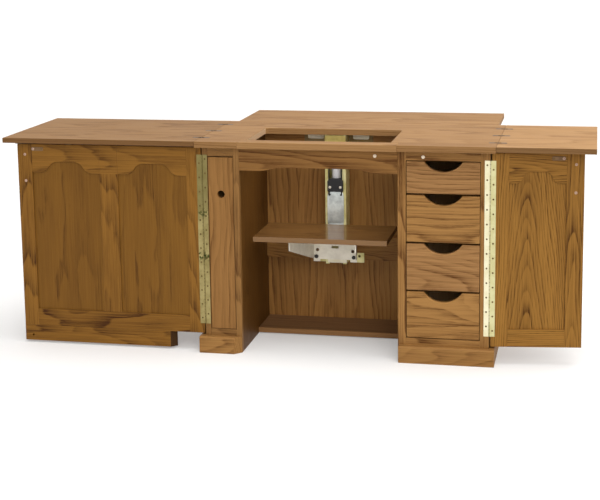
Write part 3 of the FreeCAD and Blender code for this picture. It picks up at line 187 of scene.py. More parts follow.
def oak_group():
    """Flat-sawn oak, worked out in the board's own space: x along the grain, y across the face,
    z through the board. Each glued stave is cut from its own place in a trunk. The rings are
    cylinders about an axis that wanders under the face, so their cuts make arches and long
    lines; Rift moves that axis aside, which straightens them. Each ring has a strength of its
    own, which changes in the ring's pale part. Open pores lie in short streaks along the early
    part of each ring."""
    inputs = (
        ("Board", "NodeSocketVector", None),
        ("Stave Width", "NodeSocketFloat", 0.12),
        ("Ring Width", "NodeSocketFloat", 0.008),
        ("Seed", "NodeSocketFloat", 0.0),
        ("Taper", "NodeSocketFloat", 0.08),
        ("Contrast", "NodeSocketFloat", 1.0),
        ("Rift", "NodeSocketFloat", 0.0),
        ("Light", "NodeSocketColor", (0.48, 0.25, 0.1, 1)),
        ("Dark", "NodeSocketColor", (0.2, 0.08, 0.02, 1)),
    )
    outputs = (
        ("Colour", "NodeSocketColor"),
        ("Pores", "NodeSocketFloat"),
        ("Height", "NodeSocketFloat"),
    )
    tree, b, start, end = new_group("Stained oak", inputs, outputs)
    given = start.outputs
    x, y, z = b.split(given["Board"])

    # the stave's own place in the trunk, and how deep the trunk's wandering axis lies there
    trunk_length, seed_step = 9.0, 7.31
    least_depth, wander_depth, stave_depth = -0.004, 0.03, 0.026
    place = b.math("ADD", b.math("DIVIDE", y, given["Stave Width"]), given["Seed"])
    stave = b.math("FLOOR", place)
    white = b.add("ShaderNodeTexWhiteNoise", noise_dimensions="1D")
    b.feed(white.inputs["W"], b.math("ADD", stave, b.math("MULTIPLY", given["Seed"], seed_step)))
    own = b.split(white.outputs["Color"])
    along = b.math("MULTIPLY_ADD", own[0], trunk_length, x)
    middle = b.math("MULTIPLY_ADD", own[1], 0.7, 0.15)
    across = b.math("SUBTRACT", b.math("FRACT", place), middle)
    across = b.math("MULTIPLY", across, given["Stave Width"])
    across = b.math("ADD", across, given["Rift"])
    wander = b.noise(b.unite(along, 0.0, own[2]), 1.7, 1.0)
    depth = b.math("MULTIPLY_ADD", wander, wander_depth, least_depth)
    depth = b.math("MULTIPLY_ADD", own[2], stave_depth, depth)
    depth = b.math("ADD", depth, z)

    # the rings, bent and torn a little, in shares of their width
    bend_share, tear_share, pale_part = 2.2, 0.16, 0.14
    square = b.math("ADD", b.math("POWER", across, 2.0), b.math("POWER", depth, 2.0))
    radius = b.math("MULTIPLY_ADD", x, given["Taper"], b.math("SQRT", square))
    bend = b.streaks(along, y, z, (3.2, 17.0, 1.0), 2.0)
    tear = b.streaks(along, y, z, (30.0, 210.0, 1.0), 2.0)
    bend_width = b.math("MULTIPLY", given["Ring Width"], bend_share)
    tear_width = b.math("MULTIPLY", given["Ring Width"], tear_share)
    radius = b.math("MULTIPLY_ADD", bend, bend_width, radius)
    radius = b.math("MULTIPLY_ADD", tear, tear_width, radius)
    turn = b.math("DIVIDE", radius, given["Ring Width"])
    ring = b.math("FRACT", turn)
    year = b.add("ShaderNodeTexWhiteNoise", noise_dimensions="1D")
    count = b.math("FLOOR", b.math("ADD", turn, pale_part))
    b.feed(year.inputs["W"], b.math("ADD", count, given["Seed"]))
    early = b.math("POWER", b.math("SUBTRACT", 1.0, ring), 2.2)
    early = b.math("MAXIMUM", early, b.spread(ring, 1.0 - pale_part, 1.0))
    line = b.math("MULTIPLY", early, b.math("MULTIPLY_ADD", year.outputs["Value"], 0.65, 0.35))

    # fibres, pores and broad changes of tone
    fibre = b.streaks(along, y, z, (5.0, 330.0, 330.0), 3.0)
    fine = b.streaks(along, y, z, (40.0, 900.0, 900.0), 1.0)
    pores = b.math("MULTIPLY", b.spread(fine, 0.5, 0.66), b.math("MULTIPLY_ADD", line, 0.85, 0.15))
    blotch = b.streaks(along, y, z, (1.8, 13.0, 1.0), 3.0)
    tone = b.math("MULTIPLY", line, b.spread(fibre, 0.34, 0.66, 0.28, 0.72))
    tone = b.lean(fibre, 0.75, tone)
    tone = b.math("MULTIPLY_ADD", pores, 0.3, tone)
    tone = b.lean(blotch, 0.55, tone)
    tone = b.lean(own[2], 0.2, tone)
    tone = b.math("MULTIPLY_ADD", tone, given["Contrast"], 0.12, clamp=True)
    b.feed(end.inputs["Colour"], b.blend(tone, given["Light"], given["Dark"]))
    b.feed(end.inputs["Pores"], pores)
    b.feed(end.inputs["Height"], b.math("MULTIPLY_ADD", line, -0.35, b.math("MULTIPLY", pores, -0.65)))
    return tree


def handling_group():
    """Faint marks of use in the lacquer: broad cloudy smears."""
    inputs = (("Place", "NodeSocketVector", None), ("Amount", "NodeSocketFloat", 0.3))
    tree, b, start, end = new_group("Handling marks", inputs, (("Smear", "NodeSocketFloat"),))
    smear = b.noise(start.outputs["Place"], 5.5, 4.0, 0.62)
    b.feed(end.inputs["Smear"], b.math("MULTIPLY", smear, start.outputs["Amount"]))
    return tree


def plate_group():
    """Rolled sheet metal: fine lines along x and soft clouds of tarnish."""
    inputs = (
        ("Place", "NodeSocketVector", None),
        ("Bright", "NodeSocketColor", (0.8, 0.65, 0.35, 1)),
        ("Dull", "NodeSocketColor", (0.35, 0.26, 0.12, 1)),
        ("Tarnish", "NodeSocketFloat", 0.4),
    )
    outputs = (
        ("Colour", "NodeSocketColor"),
        ("Lines", "NodeSocketFloat"),
        ("Cloud", "NodeSocketFloat"),
    )
    tree, b, start, end = new_group("Plated sheet", inputs, outputs)
    given = start.outputs
    lines = b.streaks(*b.split(given["Place"]), (30.0, 900.0, 900.0), 2.0)
    cloud = b.noise(given["Place"], 22.0, 5.0, 0.65)
    dull = b.math("MULTIPLY", b.spread(cloud, 0.36, 0.68), given["Tarnish"])
    dull = b.lean(lines, 0.2, dull, clamp=True)
    b.feed(end.inputs["Colour"], b.blend(dull, given["Bright"], given["Dull"]))
    b.feed(end.inputs["Lines"], lines)
    b.feed(end.inputs["Cloud"], cloud)
    return tree


OAK = oak_group()
MARKS = handling_group()
PLATE = plate_group()


def material(name, metallic=0.0, roughness=0.5, coat=0.0, coat_roughness=0.1):
    """A bare material: its bench, Principled shader and Object coordinates."""
    mat = bpy.data.materials.new(name)
    mat.use_nodes = True
    mat.node_tree.nodes.clear()
    b = Bench(mat.node_tree)
    shader = b.add("ShaderNodeBsdfPrincipled")
    out = b.add("ShaderNodeOutputMaterial")
    b.feed(out.inputs["Surface"], shader.outputs[0])
    shader.inputs["Metallic"].default_value = metallic
    shader.inputs["Roughness"].default_value = roughness
    shader.inputs["Coat Weight"].default_value = coat
    shader.inputs["Coat Roughness"].default_value = coat_roughness
    place = b.add("ShaderNodeTexCoord").outputs["Object"]
    return mat, b, shader, place


def board_space(b, place, order):
    """The object's axes put in a board's order: grain, face width, thickness."""
    axes = dict(zip("xyz", b.split(place)))
    return b.unite(*[axes[letter] for letter in order])


def turned_back(b, place):
    """Object coordinates of the right door turned back about its hinge to lie along x."""
    node = b.add("ShaderNodeMapping", vector_type="TEXTURE")
    node.inputs["Location"].default_value = (FACE_RIGHT, HINGE_Y, 0)
    node.inputs["Rotation"].default_value = (0, 0, RIGHT_DOOR_TURN)
    b.feed(node.inputs["Vector"], place)
    return node.outputs[0]


def bands(b, value, spans):
    """1 inside any of the spans of a coordinate, 0 outside."""
    total = None
    for low, high in spans:
        inside = b.math(
            "MULTIPLY",
            b.math("GREATER_THAN", value, low),
            b.math("LESS_THAN", value, high),
        )
        total = inside if total is None else b.math("MAXIMUM", total, inside)
    return total


HONEY = rgb(168, 124, 70)
TOFFEE = rgb(88, 52, 18)


def oak(
    name,
    order="xyz",
    second=None,
    spans=(),
    right_door=False,
    light=HONEY,
    dark=TOFFEE,
    stave=0.12,
    ring=0.008,
    seed=0.0,
    taper=0.08,
    contrast=1.0,
    gloss=0.45,
    coat=0.0,
    coat_soft=0.22,
    specular=0.12,
    rift=0.0,
    front_edge=None,
    short_span=None,
    mitre=None,
    painted_light_cut=None,
):
    """Stained and lacquered oak. Inside the spans of x the boards run in the second order, as
    stiles do beside rails, and short_span is one more, held between two heights. front_edge gives
    the y of the front edge and a colour blended into it: darker on the leaves, lighter on the
    platform, and on the kneehole shelf lighter as painted light on its lit edge. mitre gives the
    x less y of a dark sawn end, and painted_light_cut the x and colour of a painted highlight on
    a cut face below the board's top, where light falls on it."""
    mat, b, shader, place = material(name, coat=coat, coat_roughness=coat_soft)
    shader.inputs["Specular IOR Level"].default_value = specular
    if right_door:
        place = turned_back(b, place)
    x, y, z = b.split(place)
    board = board_space(b, place, order)
    seeded = seed
    if second:
        inside = bands(b, x, spans)
        if short_span:
            low_x, high_x, low_z, high_z = short_span
            height = bands(b, z, ((low_z, high_z),))
            middle = bands(b, x, ((low_x, high_x),))
            inside = b.math("MAXIMUM", inside, b.math("MULTIPLY", height, middle))
        board = b.choose(inside, board, board_space(b, place, second))
        seed_step = 3.2
        seeded = b.math("MULTIPLY_ADD", inside, seed_step, seed)
    grain = b.group(
        OAK,
        Board=board,
        Stave_Width=stave,
        Ring_Width=ring,
        Seed=seeded,
        Taper=taper,
        Contrast=contrast,
        Rift=rift,
        Light=light,
        Dark=dark,
    )
    marks = b.group(MARKS, Place=place, Amount=0.35)
    colour = grain.outputs["Colour"]
    # the front edge's band takes a tone of its own; on the kneehole shelf this lighter tone is painted
    # light on the lit edge
    if front_edge:
        line, tint = front_edge
        edge_tone = b.blend(0.55, colour, tint)
        colour = b.blend(b.math("LESS_THAN", y, line), colour, edge_tone)
    if mitre is not None:
        sawn = b.math("GREATER_THAN", b.math("SUBTRACT", x, y), mitre)
        colour = b.blend(b.math("MULTIPLY", sawn, 0.85), colour, rgb(46, 30, 18))
    # painted highlight: the cut face at one x below the top is lightened towards a pale tint, where
    # light falls on it
    if painted_light_cut:
        middle, tint = painted_light_cut
        away = b.math("ABSOLUTE", b.math("SUBTRACT", x, middle))
        below = b.math("LESS_THAN", z, TABLE_HEIGHT - 0.001)
        lit_cut_mask = b.math("MULTIPLY", b.math("LESS_THAN", away, 0.0015), below)
        colour = b.blend(b.math("MULTIPLY", lit_cut_mask, 0.75), colour, tint)
    b.feed(shader.inputs["Base Color"], colour)
    rough = b.math("MULTIPLY_ADD", marks.outputs["Smear"], 0.3, gloss - 0.05)
    rough = b.math("MULTIPLY_ADD", grain.outputs["Pores"], 0.14, rough, clamp=True)
    b.feed(shader.inputs["Roughness"], rough)
    b.feed(shader.inputs["Normal"], b.bump(grain.outputs["Height"], 0.00035, 0.5))
    return mat


def sheet_metal(
    name, bright, dull, tarnish, roughness, order="xyz", metallic=1.0, bands_at=None, stains=(),
    dim_above=None, painted_shade_beside=None, specular=0.5,
):
    """Plated or rolled sheet. bands_at gives the front and pitch of a barrel's knuckle joints,
    and stains the heights of green spots left round a few screws. dim_above is the height range
    and colour of a duller upper part, painted_shade_beside the middle, half width, height and
    colour of painted shade on the ears beside the middle."""
    mat, b, shader, place = material(name, metallic=metallic, roughness=roughness)
    shader.inputs["Specular IOR Level"].default_value = specular
    x, y, z = b.split(place)
    sheet = b.group(
        PLATE, Place=board_space(b, place, order), Bright=bright, Dull=dull, Tarnish=tarnish
    )
    colour = sheet.outputs["Colour"]
    height = b.math("MULTIPLY", sheet.outputs["Lines"], 0.4)
    if bands_at:
        front, pitch = bands_at
        near = b.math("LESS_THAN", y, front)
        step = b.math("FRACT", b.math("DIVIDE", z, pitch))
        joint = b.math("MULTIPLY", near, b.math("LESS_THAN", step, 0.12))
        colour = b.blend(b.math("MULTIPLY", near, 0.4), colour, rgb(110, 100, 60))
        colour = b.blend(b.math("MULTIPLY", joint, 0.85), colour, rgb(60, 46, 24))
        height = b.math("SUBTRACT", height, b.math("MULTIPLY", joint, 2.0))
    for level in stains:
        away = b.math("ABSOLUTE", b.math("SUBTRACT", z, level))
        near_level = b.math("SUBTRACT", 1.0, b.spread(away, 0.006, 0.022))
        spotted = b.spread(b.noise(place, 130.0, 1.0), 0.44, 0.56)
        colour = b.blend(b.math("MULTIPLY", near_level, spotted), colour, rgb(62, 66, 32))
    if dim_above:
        low, high, tint = dim_above
        colour = b.blend(b.spread(z, low, high, 0.0, 0.7), colour, tint)
    # painted shade: outside a middle band and above a height, the sheet is darkened towards a tint, as
    # under the top
    if painted_shade_beside:
        middle, half, low, tint = painted_shade_beside
        away = b.math("ABSOLUTE", b.math("SUBTRACT", x, middle))
        above = b.spread(z, low, low + 0.01)
        ear = b.math("MULTIPLY", b.math("GREATER_THAN", away, half), above)
        colour = b.blend(b.math("MULTIPLY", ear, 0.85), colour, tint)
    b.feed(shader.inputs["Base Color"], colour)
    rough = b.math("MULTIPLY_ADD", sheet.outputs["Cloud"], 0.3, roughness - 0.12, clamp=True)
    b.feed(shader.inputs["Roughness"], rough)
    b.feed(shader.inputs["Normal"], b.bump(height, 0.0001, 0.35))
    return mat


def moulded(name, base, worn, roughness, coat=0.0):
    """Moulded plastic or sprayed paint: a fine orange-peel skin and faint rubbed places."""
    mat, b, shader, place = material(name, roughness=roughness, coat=coat)
    smear = b.group(MARKS, Place=place, Amount=0.6).outputs["Smear"]
    b.feed(shader.inputs["Base Color"], b.blend(b.math("MULTIPLY", smear, 0.6), base, worn))
    b.feed(shader.inputs["Roughness"], b.math("MULTIPLY_ADD", smear, 0.3, roughness - 0.08))
    b.feed(shader.inputs["Normal"], b.bump(b.noise(place, 900.0, 1.0), 0.00012, 0.3))
    return mat


# materials of the desk
TOP_LIGHT = rgb(160, 121, 77)
TOP_DARK = rgb(112, 76, 40)
# The door tones are darker than the drawers' as painted shade, the left door's darkest, for the light
# that falls off towards the left and the shade under the left leaf; the left door's panels are a
# little darker again.
LEFT_DOOR_LIGHT = rgb(140, 97, 38)
LEFT_DOOR_DARK = rgb(64, 34, 7)
RIGHT_DOOR_LIGHT = rgb(156, 111, 48)
RIGHT_DOOR_DARK = rgb(74, 42, 8)
DRAWER_LIGHT = rgb(175, 131, 82)
INNER_LIGHT = rgb(162, 116, 62)
INNER_DARK = rgb(84, 50, 20)

# The spans of x of upright boards, and the muntin's span of x and of z.
LEFT_DOOR_STILES = ((-0.3690, -0.3140), (-0.9990, -0.9442))
LEFT_DOOR_MUNTIN = (-0.6904, -0.6226, 0.128, 0.634)
RIGHT_DOOR_STILES = ((0.0035, 0.0623), (0.2537, 0.3125))
FRAME_STILES = ((-0.3110, -0.2905), (-0.1975, -0.1770), (0.3790, 0.4080), (0.6610, 0.6940))

# What the five boards of the table have in common.
TOP_BOARD = {"ring": 0.008, "contrast": 0.9, "gloss": 0.55, "specular": 0.1, "taper": 0.012}

# How deep the colour of a front edge or a sawn end reaches in.
EDGE_BAND = 0.0012
LEFT_LEAF_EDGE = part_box("left_leaf")[0][1] + EDGE_BAND
RIGHT_LEAF_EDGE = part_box("right_leaf")[0][1] + EDGE_BAND
SKIRT_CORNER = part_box("left_door_skirt")[1]

# The front of a door hinge's barrel and the height of one knuckle.
BARREL = (HINGE_Y - 0.0012, 0.0127)

finishes = {
    # The centre top's painted_light_cut lightens the left face of its opening as a painted highlight.
    "centre_top": oak("top_oak", light=TOP_LIGHT, dark=TOP_DARK, stave=0.105, seed=0.37,
                      painted_light_cut=(-0.1565, rgb(226, 190, 152)), **TOP_BOARD),
    "front_strip": oak("front_strip_oak", light=TOP_LIGHT, dark=TOP_DARK, stave=0.105, seed=2.11,
                       **TOP_BOARD),
    # The left leaf's tones are set darker and the right leaf's lighter than the centre top's, as
    # painted shade and painted light for the light that falls off from right to left.
    "left_leaf": oak("left_leaf_oak", light=rgb(150, 113, 71), dark=rgb(106, 71, 37), stave=0.105,
                     seed=4.53, front_edge=(LEFT_LEAF_EDGE, rgb(84, 52, 26)), **TOP_BOARD),
    "right_leaf": oak("right_leaf_oak", light=rgb(172, 132, 86), dark=rgb(124, 86, 48), stave=0.105,
                      seed=6.19, front_edge=(RIGHT_LEAF_EDGE, rgb(66, 38, 14)), **TOP_BOARD),
    "rear_leaf": oak("rear_leaf_oak", light=TOP_LIGHT, dark=TOP_DARK, stave=0.108, seed=8.71,
                     **TOP_BOARD),
    # The left face frame's tones are set darker than the right's as painted shade on the left column,
    # which gets less light.
    "left_face_frame": oak("left_frame_oak", "xzy", "zxy", FRAME_STILES, light=rgb(150, 110, 62),
                           dark=rgb(80, 47, 16), stave=0.06, ring=0.005, seed=1.3, taper=0.012,
                           contrast=1.2, rift=0.03),
    "right_face_frame": oak("right_frame_oak", "xzy", "zxy", FRAME_STILES, stave=0.06, ring=0.005,
                            seed=2.9, taper=0.012, contrast=1.2, rift=0.03),
    "apron": oak("apron_oak", "xzy", light=rgb(152, 110, 60), stave=0.2, ring=0.005, seed=3.0,
                 taper=0.02, contrast=1.25),
    "plinths": oak("plinth_oak", "xzy", stave=0.1, ring=0.0045, seed=5.0, taper=0.03),
    "side_panels": oak("side_oak", "zyx", stave=0.17, ring=0.006, seed=6.6, taper=0.014,
                       contrast=0.85, rift=0.035),
    # The inner panels' dark tones are painted shade for the kneehole's walls, which get less light.
    "inner_panels": oak("inner_side_oak", "zyx", light=rgb(106, 70, 28), dark=rgb(56, 32, 9),
                        stave=0.2, ring=0.005, seed=7.7, taper=0.03, contrast=0.85, rift=0.02),
    "back_panel": oak("back_oak", "zxy", light=INNER_LIGHT, dark=INNER_DARK, stave=0.19,
                      ring=0.016, seed=8.3, taper=0.05, rift=0.012),
    "rails_and_shelf": oak("rail_oak", "xzy", light=INNER_LIGHT, dark=INNER_DARK, stave=0.1,
                           ring=0.005, seed=9.1),
    # The kneehole shelf's darker tones are painted shade on its top under the desk, and its lighter
    # front_edge tone is painted light where that edge is lit.
    "kneehole_shelf": oak("shelf_oak", light=rgb(132, 98, 66), dark=rgb(88, 60, 34), seed=9.9,
                          taper=0.02, front_edge=(-0.145, rgb(158, 116, 72))),
    "left_door_frame": oak("left_door_oak", "xzy", "zxy", LEFT_DOOR_STILES, light=LEFT_DOOR_LIGHT,
                           dark=LEFT_DOOR_DARK, stave=0.15, ring=0.005, seed=11.8, taper=0.022,
                           contrast=1.2, rift=0.022, short_span=LEFT_DOOR_MUNTIN),
    "left_door_skirt": oak("skirt_oak", "xzy", light=LEFT_DOOR_LIGHT, dark=LEFT_DOOR_DARK,
                           stave=0.15, ring=0.005, seed=12.7, taper=0.02, contrast=1.35, rift=0.02,
                           mitre=SKIRT_CORNER[0] - SKIRT_CORNER[1] - EDGE_BAND),
    "left_door_panels": oak("left_panel_oak", "zxy", light=rgb(128, 88, 32), dark=LEFT_DOOR_DARK,
                            stave=0.128, ring=0.017, seed=13.45, taper=0.006, contrast=0.75,
                            rift=0.05),
    "right_door_frame": oak("right_door_oak", "xzy", "zxy", RIGHT_DOOR_STILES, right_door=True,
                            light=RIGHT_DOOR_LIGHT, dark=RIGHT_DOOR_DARK, stave=0.15, ring=0.007,
                            seed=14.75, taper=0.03, contrast=1.2),
    "right_door_panel": oak("right_panel_oak", "zxy", right_door=True, light=RIGHT_DOOR_LIGHT,
                            dark=RIGHT_DOOR_DARK, stave=0.21, seed=15.8, taper=0.11, contrast=1.2),
    "pull_out_front": oak("pull_out_oak", "zxy", light=rgb(156, 113, 63), stave=0.13, ring=0.0042,
                          seed=21.6, taper=0.012, contrast=0.8, rift=0.035),
    "birch": oak("birch_side", "yzx", light=rgb(214, 184, 140), dark=rgb(184, 146, 98), stave=0.2,
                 ring=0.012, seed=23.0, contrast=0.6, gloss=0.5, coat=0.1),
    "platform": oak("platform_laminate", light=rgb(114, 80, 42), dark=rgb(76, 48, 20),
                    stave=0.09, seed=24.4, contrast=0.9, taper=0.015, gloss=0.6, coat=0.55,
                    coat_soft=0.05, specular=0.05, front_edge=(-0.3535, rgb(146, 110, 70))),
    "stay_oak": oak("stay_oak", "yzx", stave=0.05, seed=26.0),
    "left_brass": sheet_metal("left_hinge_brass", rgb(164, 150, 102), rgb(122, 108, 64), 0.7, 0.36,
                              "zxy", bands_at=BARREL, stains=(0.505, 0.348),
                              dim_above=(0.44, 0.56, rgb(118, 108, 66))),
    # The right hinge's brass is set far paler than the left's: partly brighter, less tarnished metal,
    # partly a painted highlight where it catches the light; the door leaf is a slightly duller copy of
    # the plate.
    "right_brass": sheet_metal("right_hinge_brass", rgb(236, 230, 198), rgb(206, 194, 144), 0.45,
                               0.3, "zxy", bands_at=BARREL),
    "right_leaf_brass": sheet_metal("right_door_leaf_brass", rgb(208, 204, 158),
                                    rgb(178, 168, 114), 0.5, 0.34, "zxy", bands_at=BARREL),
    "table_brass": sheet_metal("leaf_hinge_brass", rgb(104, 82, 58), rgb(46, 34, 26), 0.7, 0.45,
                               metallic=0.3, specular=0.2),
    "old_brass": sheet_metal("rear_hinge_brass", rgb(196, 160, 98), rgb(96, 70, 36), 0.8, 0.4),
    "bronze": sheet_metal("pull_bronze", rgb(104, 78, 54), rgb(46, 34, 26), 0.8, 0.36, "zxy"),
    # The track's ears are given painted shade: a brown darkening above 0.69 m outside the middle 79
    # mm.
    "chromate": sheet_metal("track_chromate", rgb(232, 224, 168), rgb(196, 184, 104), 0.75, 0.42,
                            "zxy", metallic=0.35, specular=0.25,
                            painted_shade_beside=(LIFT_X, 0.0395, 0.69, rgb(96, 62, 28))),
    # The head plate's chromate is a darker olive copy of the track's, as painted shade.
    "head_chromate": sheet_metal("head_plate_chromate", rgb(186, 166, 92), rgb(142, 124, 62), 0.7,
                                 0.45, "zxy", metallic=0.3),
    # The tabs' near-white cream is partly painted light, raised so the tabs look lit where they sit in
    # the top's shade; the carriage flange shares it.
    "tab": sheet_metal("ear_tab_cream", rgb(250, 244, 222), rgb(226, 214, 178), 0.5, 0.45, "xzy",
                       metallic=0.0),
    "carriage": sheet_metal("carriage_chromate", rgb(250, 244, 228), rgb(216, 208, 190), 0.5, 0.45,
                            "xzy", metallic=0.15),
    "zinc": sheet_metal("cover_zinc", rgb(222, 228, 224), rgb(142, 148, 148), 0.6, 0.3, "zxy"),
    "screw": sheet_metal("screw_nickel", rgb(226, 218, 198), rgb(140, 128, 108), 0.5, 0.3, "xzy"),
    "brass_screw": sheet_metal("screw_brass", rgb(112, 92, 54), rgb(62, 48, 26), 0.6, 0.4, "xzy"),
    "strike_brass": sheet_metal("strike_plate_brass", rgb(124, 92, 56), rgb(88, 62, 34), 0.7, 0.45,
                                "xzy", metallic=0.3),
    "door_screw": sheet_metal("door_screw_nickel", rgb(196, 164, 142), rgb(130, 104, 88), 0.5, 0.4,
                              "xzy", metallic=0.35),
    "white_paint": moulded("cylinder_white", rgb(238, 238, 240), rgb(206, 204, 200), 0.36, 0.3),
    "black_plastic": moulded("block_black", rgb(12, 12, 15), rgb(34, 33, 34), 0.5),
    "ivory": moulded("magnet_ivory", rgb(240, 226, 204), rgb(206, 182, 148), 0.4),
    "dark_rubber": moulded("roller_rubber", rgb(38, 36, 34), rgb(76, 70, 62), 0.6),
}

# Each drawer's own light tone, stave width, ring width, seed and taper, from the top down.
DRAWER_GRAIN = (
    (DRAWER_LIGHT, 0.12, 0.0036, 16.31, 0.02),
    (HONEY, 0.17, 0.0038, 17.52, -0.018),
    (DRAWER_LIGHT, 0.17, 0.0038, 18.83, 0.014),
    (HONEY, 0.17, 0.0038, 20.14, -0.026),
)
for number, (light, stave, ring, seed, taper) in enumerate(DRAWER_GRAIN, 1):
    finishes[f"drawer_{number}_front"] = oak(
        f"drawer_{number}_oak", "xzy", light=light, stave=stave, ring=ring, seed=seed, taper=taper,
        contrast=1.15, rift=0.035,
    )

# Parts that share a finish; every other part has the finish of its own name.
SHARED_FINISH = {
    "side_panels": ("left_side_panel", "right_side_panel"),
    "inner_panels": ("left_inner_panel", "right_inner_panel"),
    "rails_and_shelf": ("back_rails", "column_floors", "stay_rests"),
    "stay_oak": ("top_cleats", "rear_stays"),
    "birch": ("drawer_1_box", "drawer_2_box", "drawer_3_box", "drawer_4_box", "drawer_runners",
              "pull_out_rack"),
    "platform": ("lift_platform",),
    "left_brass": ("left_hinge_plate", "left_door_hinge_leaf"),
    "right_brass": ("right_hinge_plate",),
    "right_leaf_brass": ("right_door_hinge_leaf",),
    "brass_screw": ("hinge_pins",),
    "table_brass": ("top_hinge_plates", "left_leaf_fittings", "right_leaf_fittings"),
    "old_brass": ("left_hinge_links", "right_hinge_links", "rear_hinge_plates",
                  "rear_leaf_hinges"),
    "chromate": ("lift_track",),
    "white_paint": ("lift_cylinder",),
    "black_plastic": ("lift_block",),
    "zinc": ("lift_cover_plate",),
    "carriage": ("lift_carriage",),
    "bronze": ("left_door_pull", "right_door_pull"),
    "screw": ("left_door_fittings", "right_door_fittings", "cabinet_screws"),
    "ivory": ("door_magnets",),
}

# Parts by the rounding of their edges, in metres.
ROUNDED = {
    0.0025: ("left_leaf", "right_leaf"),
    0.0022: ("drawer_1_front", "drawer_2_front", "drawer_3_front", "drawer_4_front"),
    0.0020: ("centre_top", "rear_leaf", "kneehole_shelf", "rear_stays"),
    0.0018: ("pull_out_front",),
    0.0015: ("apron", "plinths", "lift_platform", "lift_block", "stay_rests"),
    0.0013: ("left_door_frame", "right_door_frame", "left_door_skirt"),
    0.0012: ("front_strip", "left_side_panel", "right_side_panel"),
    0.0010: ("left_inner_panel", "right_inner_panel"),
    0.0008: ("left_face_frame", "right_face_frame", "lift_cover_plate"),
    0.0006: ("lift_carriage",),
    0.0005: ("lift_track",),
}


def by_part(table):
    """A table of a value and its parts, turned round: each part and its value."""
    return {part: value for value, parts in table.items() for part in parts}


part_finish = by_part(SHARED_FINISH)
part_round = by_part(ROUNDED)


def soften(node, width):
    """Rounds a board's long edges: its loose triangles are welded, flat ones joined, and every
    edge sharper than 35 degrees gets a three-step round."""
    weld = node.modifiers.new("joined corners", "WELD")
    weld.merge_threshold = 0.000005
    flat = node.modifiers.new("flat faces", "DECIMATE")
    flat.decimate_type = "DISSOLVE"
    flat.angle_limit = math.radians(0.5)
    bevel = node.modifiers.new("rounded edges", "BEVEL")
    bevel.width = width
    bevel.segments = 3
    bevel.limit_method = "ANGLE"
    bevel.angle_limit = math.radians(35)
    bevel.use_clamp_overlap = True


for label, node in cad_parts.items():
    finish = finishes[part_finish.get(label, label)]
    if not node.material_slots:
        node.data.materials.append(finish)
    for holder in node.material_slots:
        holder.material = finish
    if label in part_round:
        soften(node, part_round[label])


# surfaces of the small parts
def grid_faces(rows, columns):
    """Four-sided faces of a grid of points, row by row; the last column joins the first."""
    row, column = np.meshgrid(np.arange(rows - 1), np.arange(columns), indexing="ij")
    after = (column + 1) % columns
    first = row * columns + column
    second = row * columns + after
    third = (row + 1) * columns + after
    fourth = (row + 1) * columns + column
    return np.stack([first, second, third, fourth], -1).reshape(-1, 4)


def many(points, faces):
    """The faces of one small part, repeated for each copy of its points."""
    copies, count = points.shape[0], points.shape[1]
    steps = np.arange(copies)[:, None, None] * count
    return points.reshape(-1, 3), (faces[None] + steps).reshape(-1, faces.shape[-1])


def surface(name, points, faces, body, finish, replaced=()):
    """Puts worked-out points and faces into a mesh that rides on a body. Poles are drawn together,
    open ends are closed, and faces are turned outwards."""
    mesh = bpy.data.meshes.new(name)
    mesh.from_pydata(points.tolist(), [], faces.tolist())
    shell = bmesh.new()
    shell.from_mesh(mesh)
    bmesh.ops.remove_doubles(shell, verts=shell.verts, dist=0.000001)
    bmesh.ops.holes_fill(shell, edges=shell.edges, sides=0)
    bmesh.ops.recalc_face_normals(shell, faces=shell.faces)
    shell.to_mesh(mesh)
    shell.free()
    mesh.update()
    mesh.polygons.foreach_set("use_smooth", np.ones(len(mesh.polygons), bool))
    mesh.set_sharp_from_angle(angle=math.radians(50))
    mesh.materials.append(finishes[finish])
    piece = bpy.data.objects.new(name, mesh)
    bpy.context.scene.collection.objects.link(piece)
    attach(piece, body)
    if replaced:
        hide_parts(*replaced)


def set_out(local, faces, centres, axis=FRONT):
    """Copies of a part drawn about z, one at each centre, with z along the level axis."""
    axis = np.array(axis)
    side = np.cross(axis, (0.0, 0.0, 1.0))
    turn = np.stack([side, np.cross(axis, side), axis], 1)
    points = (local @ turn.T)[None] + np.array(centres)[:, None]
    return many(points, faces)


def around(count):
    """Equal steps of angle once round a circle."""
    return np.linspace(0, 2 * math.pi, count, endpoint=False)


def turned(profile, count=32):
    """A lathe form: each (radius, height) of the profile is carried round z. The profile is listed
    from the middle of the front outwards."""
    profile = np.array(profile)[::-1]
    angles = around(count)
    radius = profile[:, 0][:, None]
    height = np.repeat(profile[:, 1][:, None], count, 1)
    points = np.stack([radius * np.cos(angles), radius * np.sin(angles), height], -1)
    return points.reshape(-1, 3), grid_faces(len(profile), count)


def cross_head(radius, dome, depth, rim_share):
    """A cross-recessed screw head: the height is a shallow dome of the radius, less a cross whose
    depth falls with the distance from the nearer of the two slot lines. The rim below is a share
    of the radius, smaller than 1 on a countersunk head."""
    rings, count = 13, 32
    slot_half = radius * 0.16
    slot_reach = radius * 0.68
    angles = around(count)
    r, t = np.meshgrid(np.linspace(0, 1, rings) * radius, angles, indexing="ij")
    x, y = r * np.cos(t), r * np.sin(t)
    slot = np.minimum(np.abs(x), np.abs(y)) / slot_half
    reach = np.clip(1 - r / slot_reach, 0, 1)
    recess = depth * np.clip(1.3 - slot, 0, 1) * np.clip(reach * 2.2, 0, 1)
    head = np.stack([x, y, dome * (1 - (r / radius) ** 2) - recess], -1)
    rim = radius * rim_share
    below = np.full(count, -radius * 0.25)
    edge = np.stack([rim * np.cos(angles), rim * np.sin(angles), below], -1)
    return np.concatenate([head.reshape(-1, 3), edge]), grid_faces(rings + 1, count)


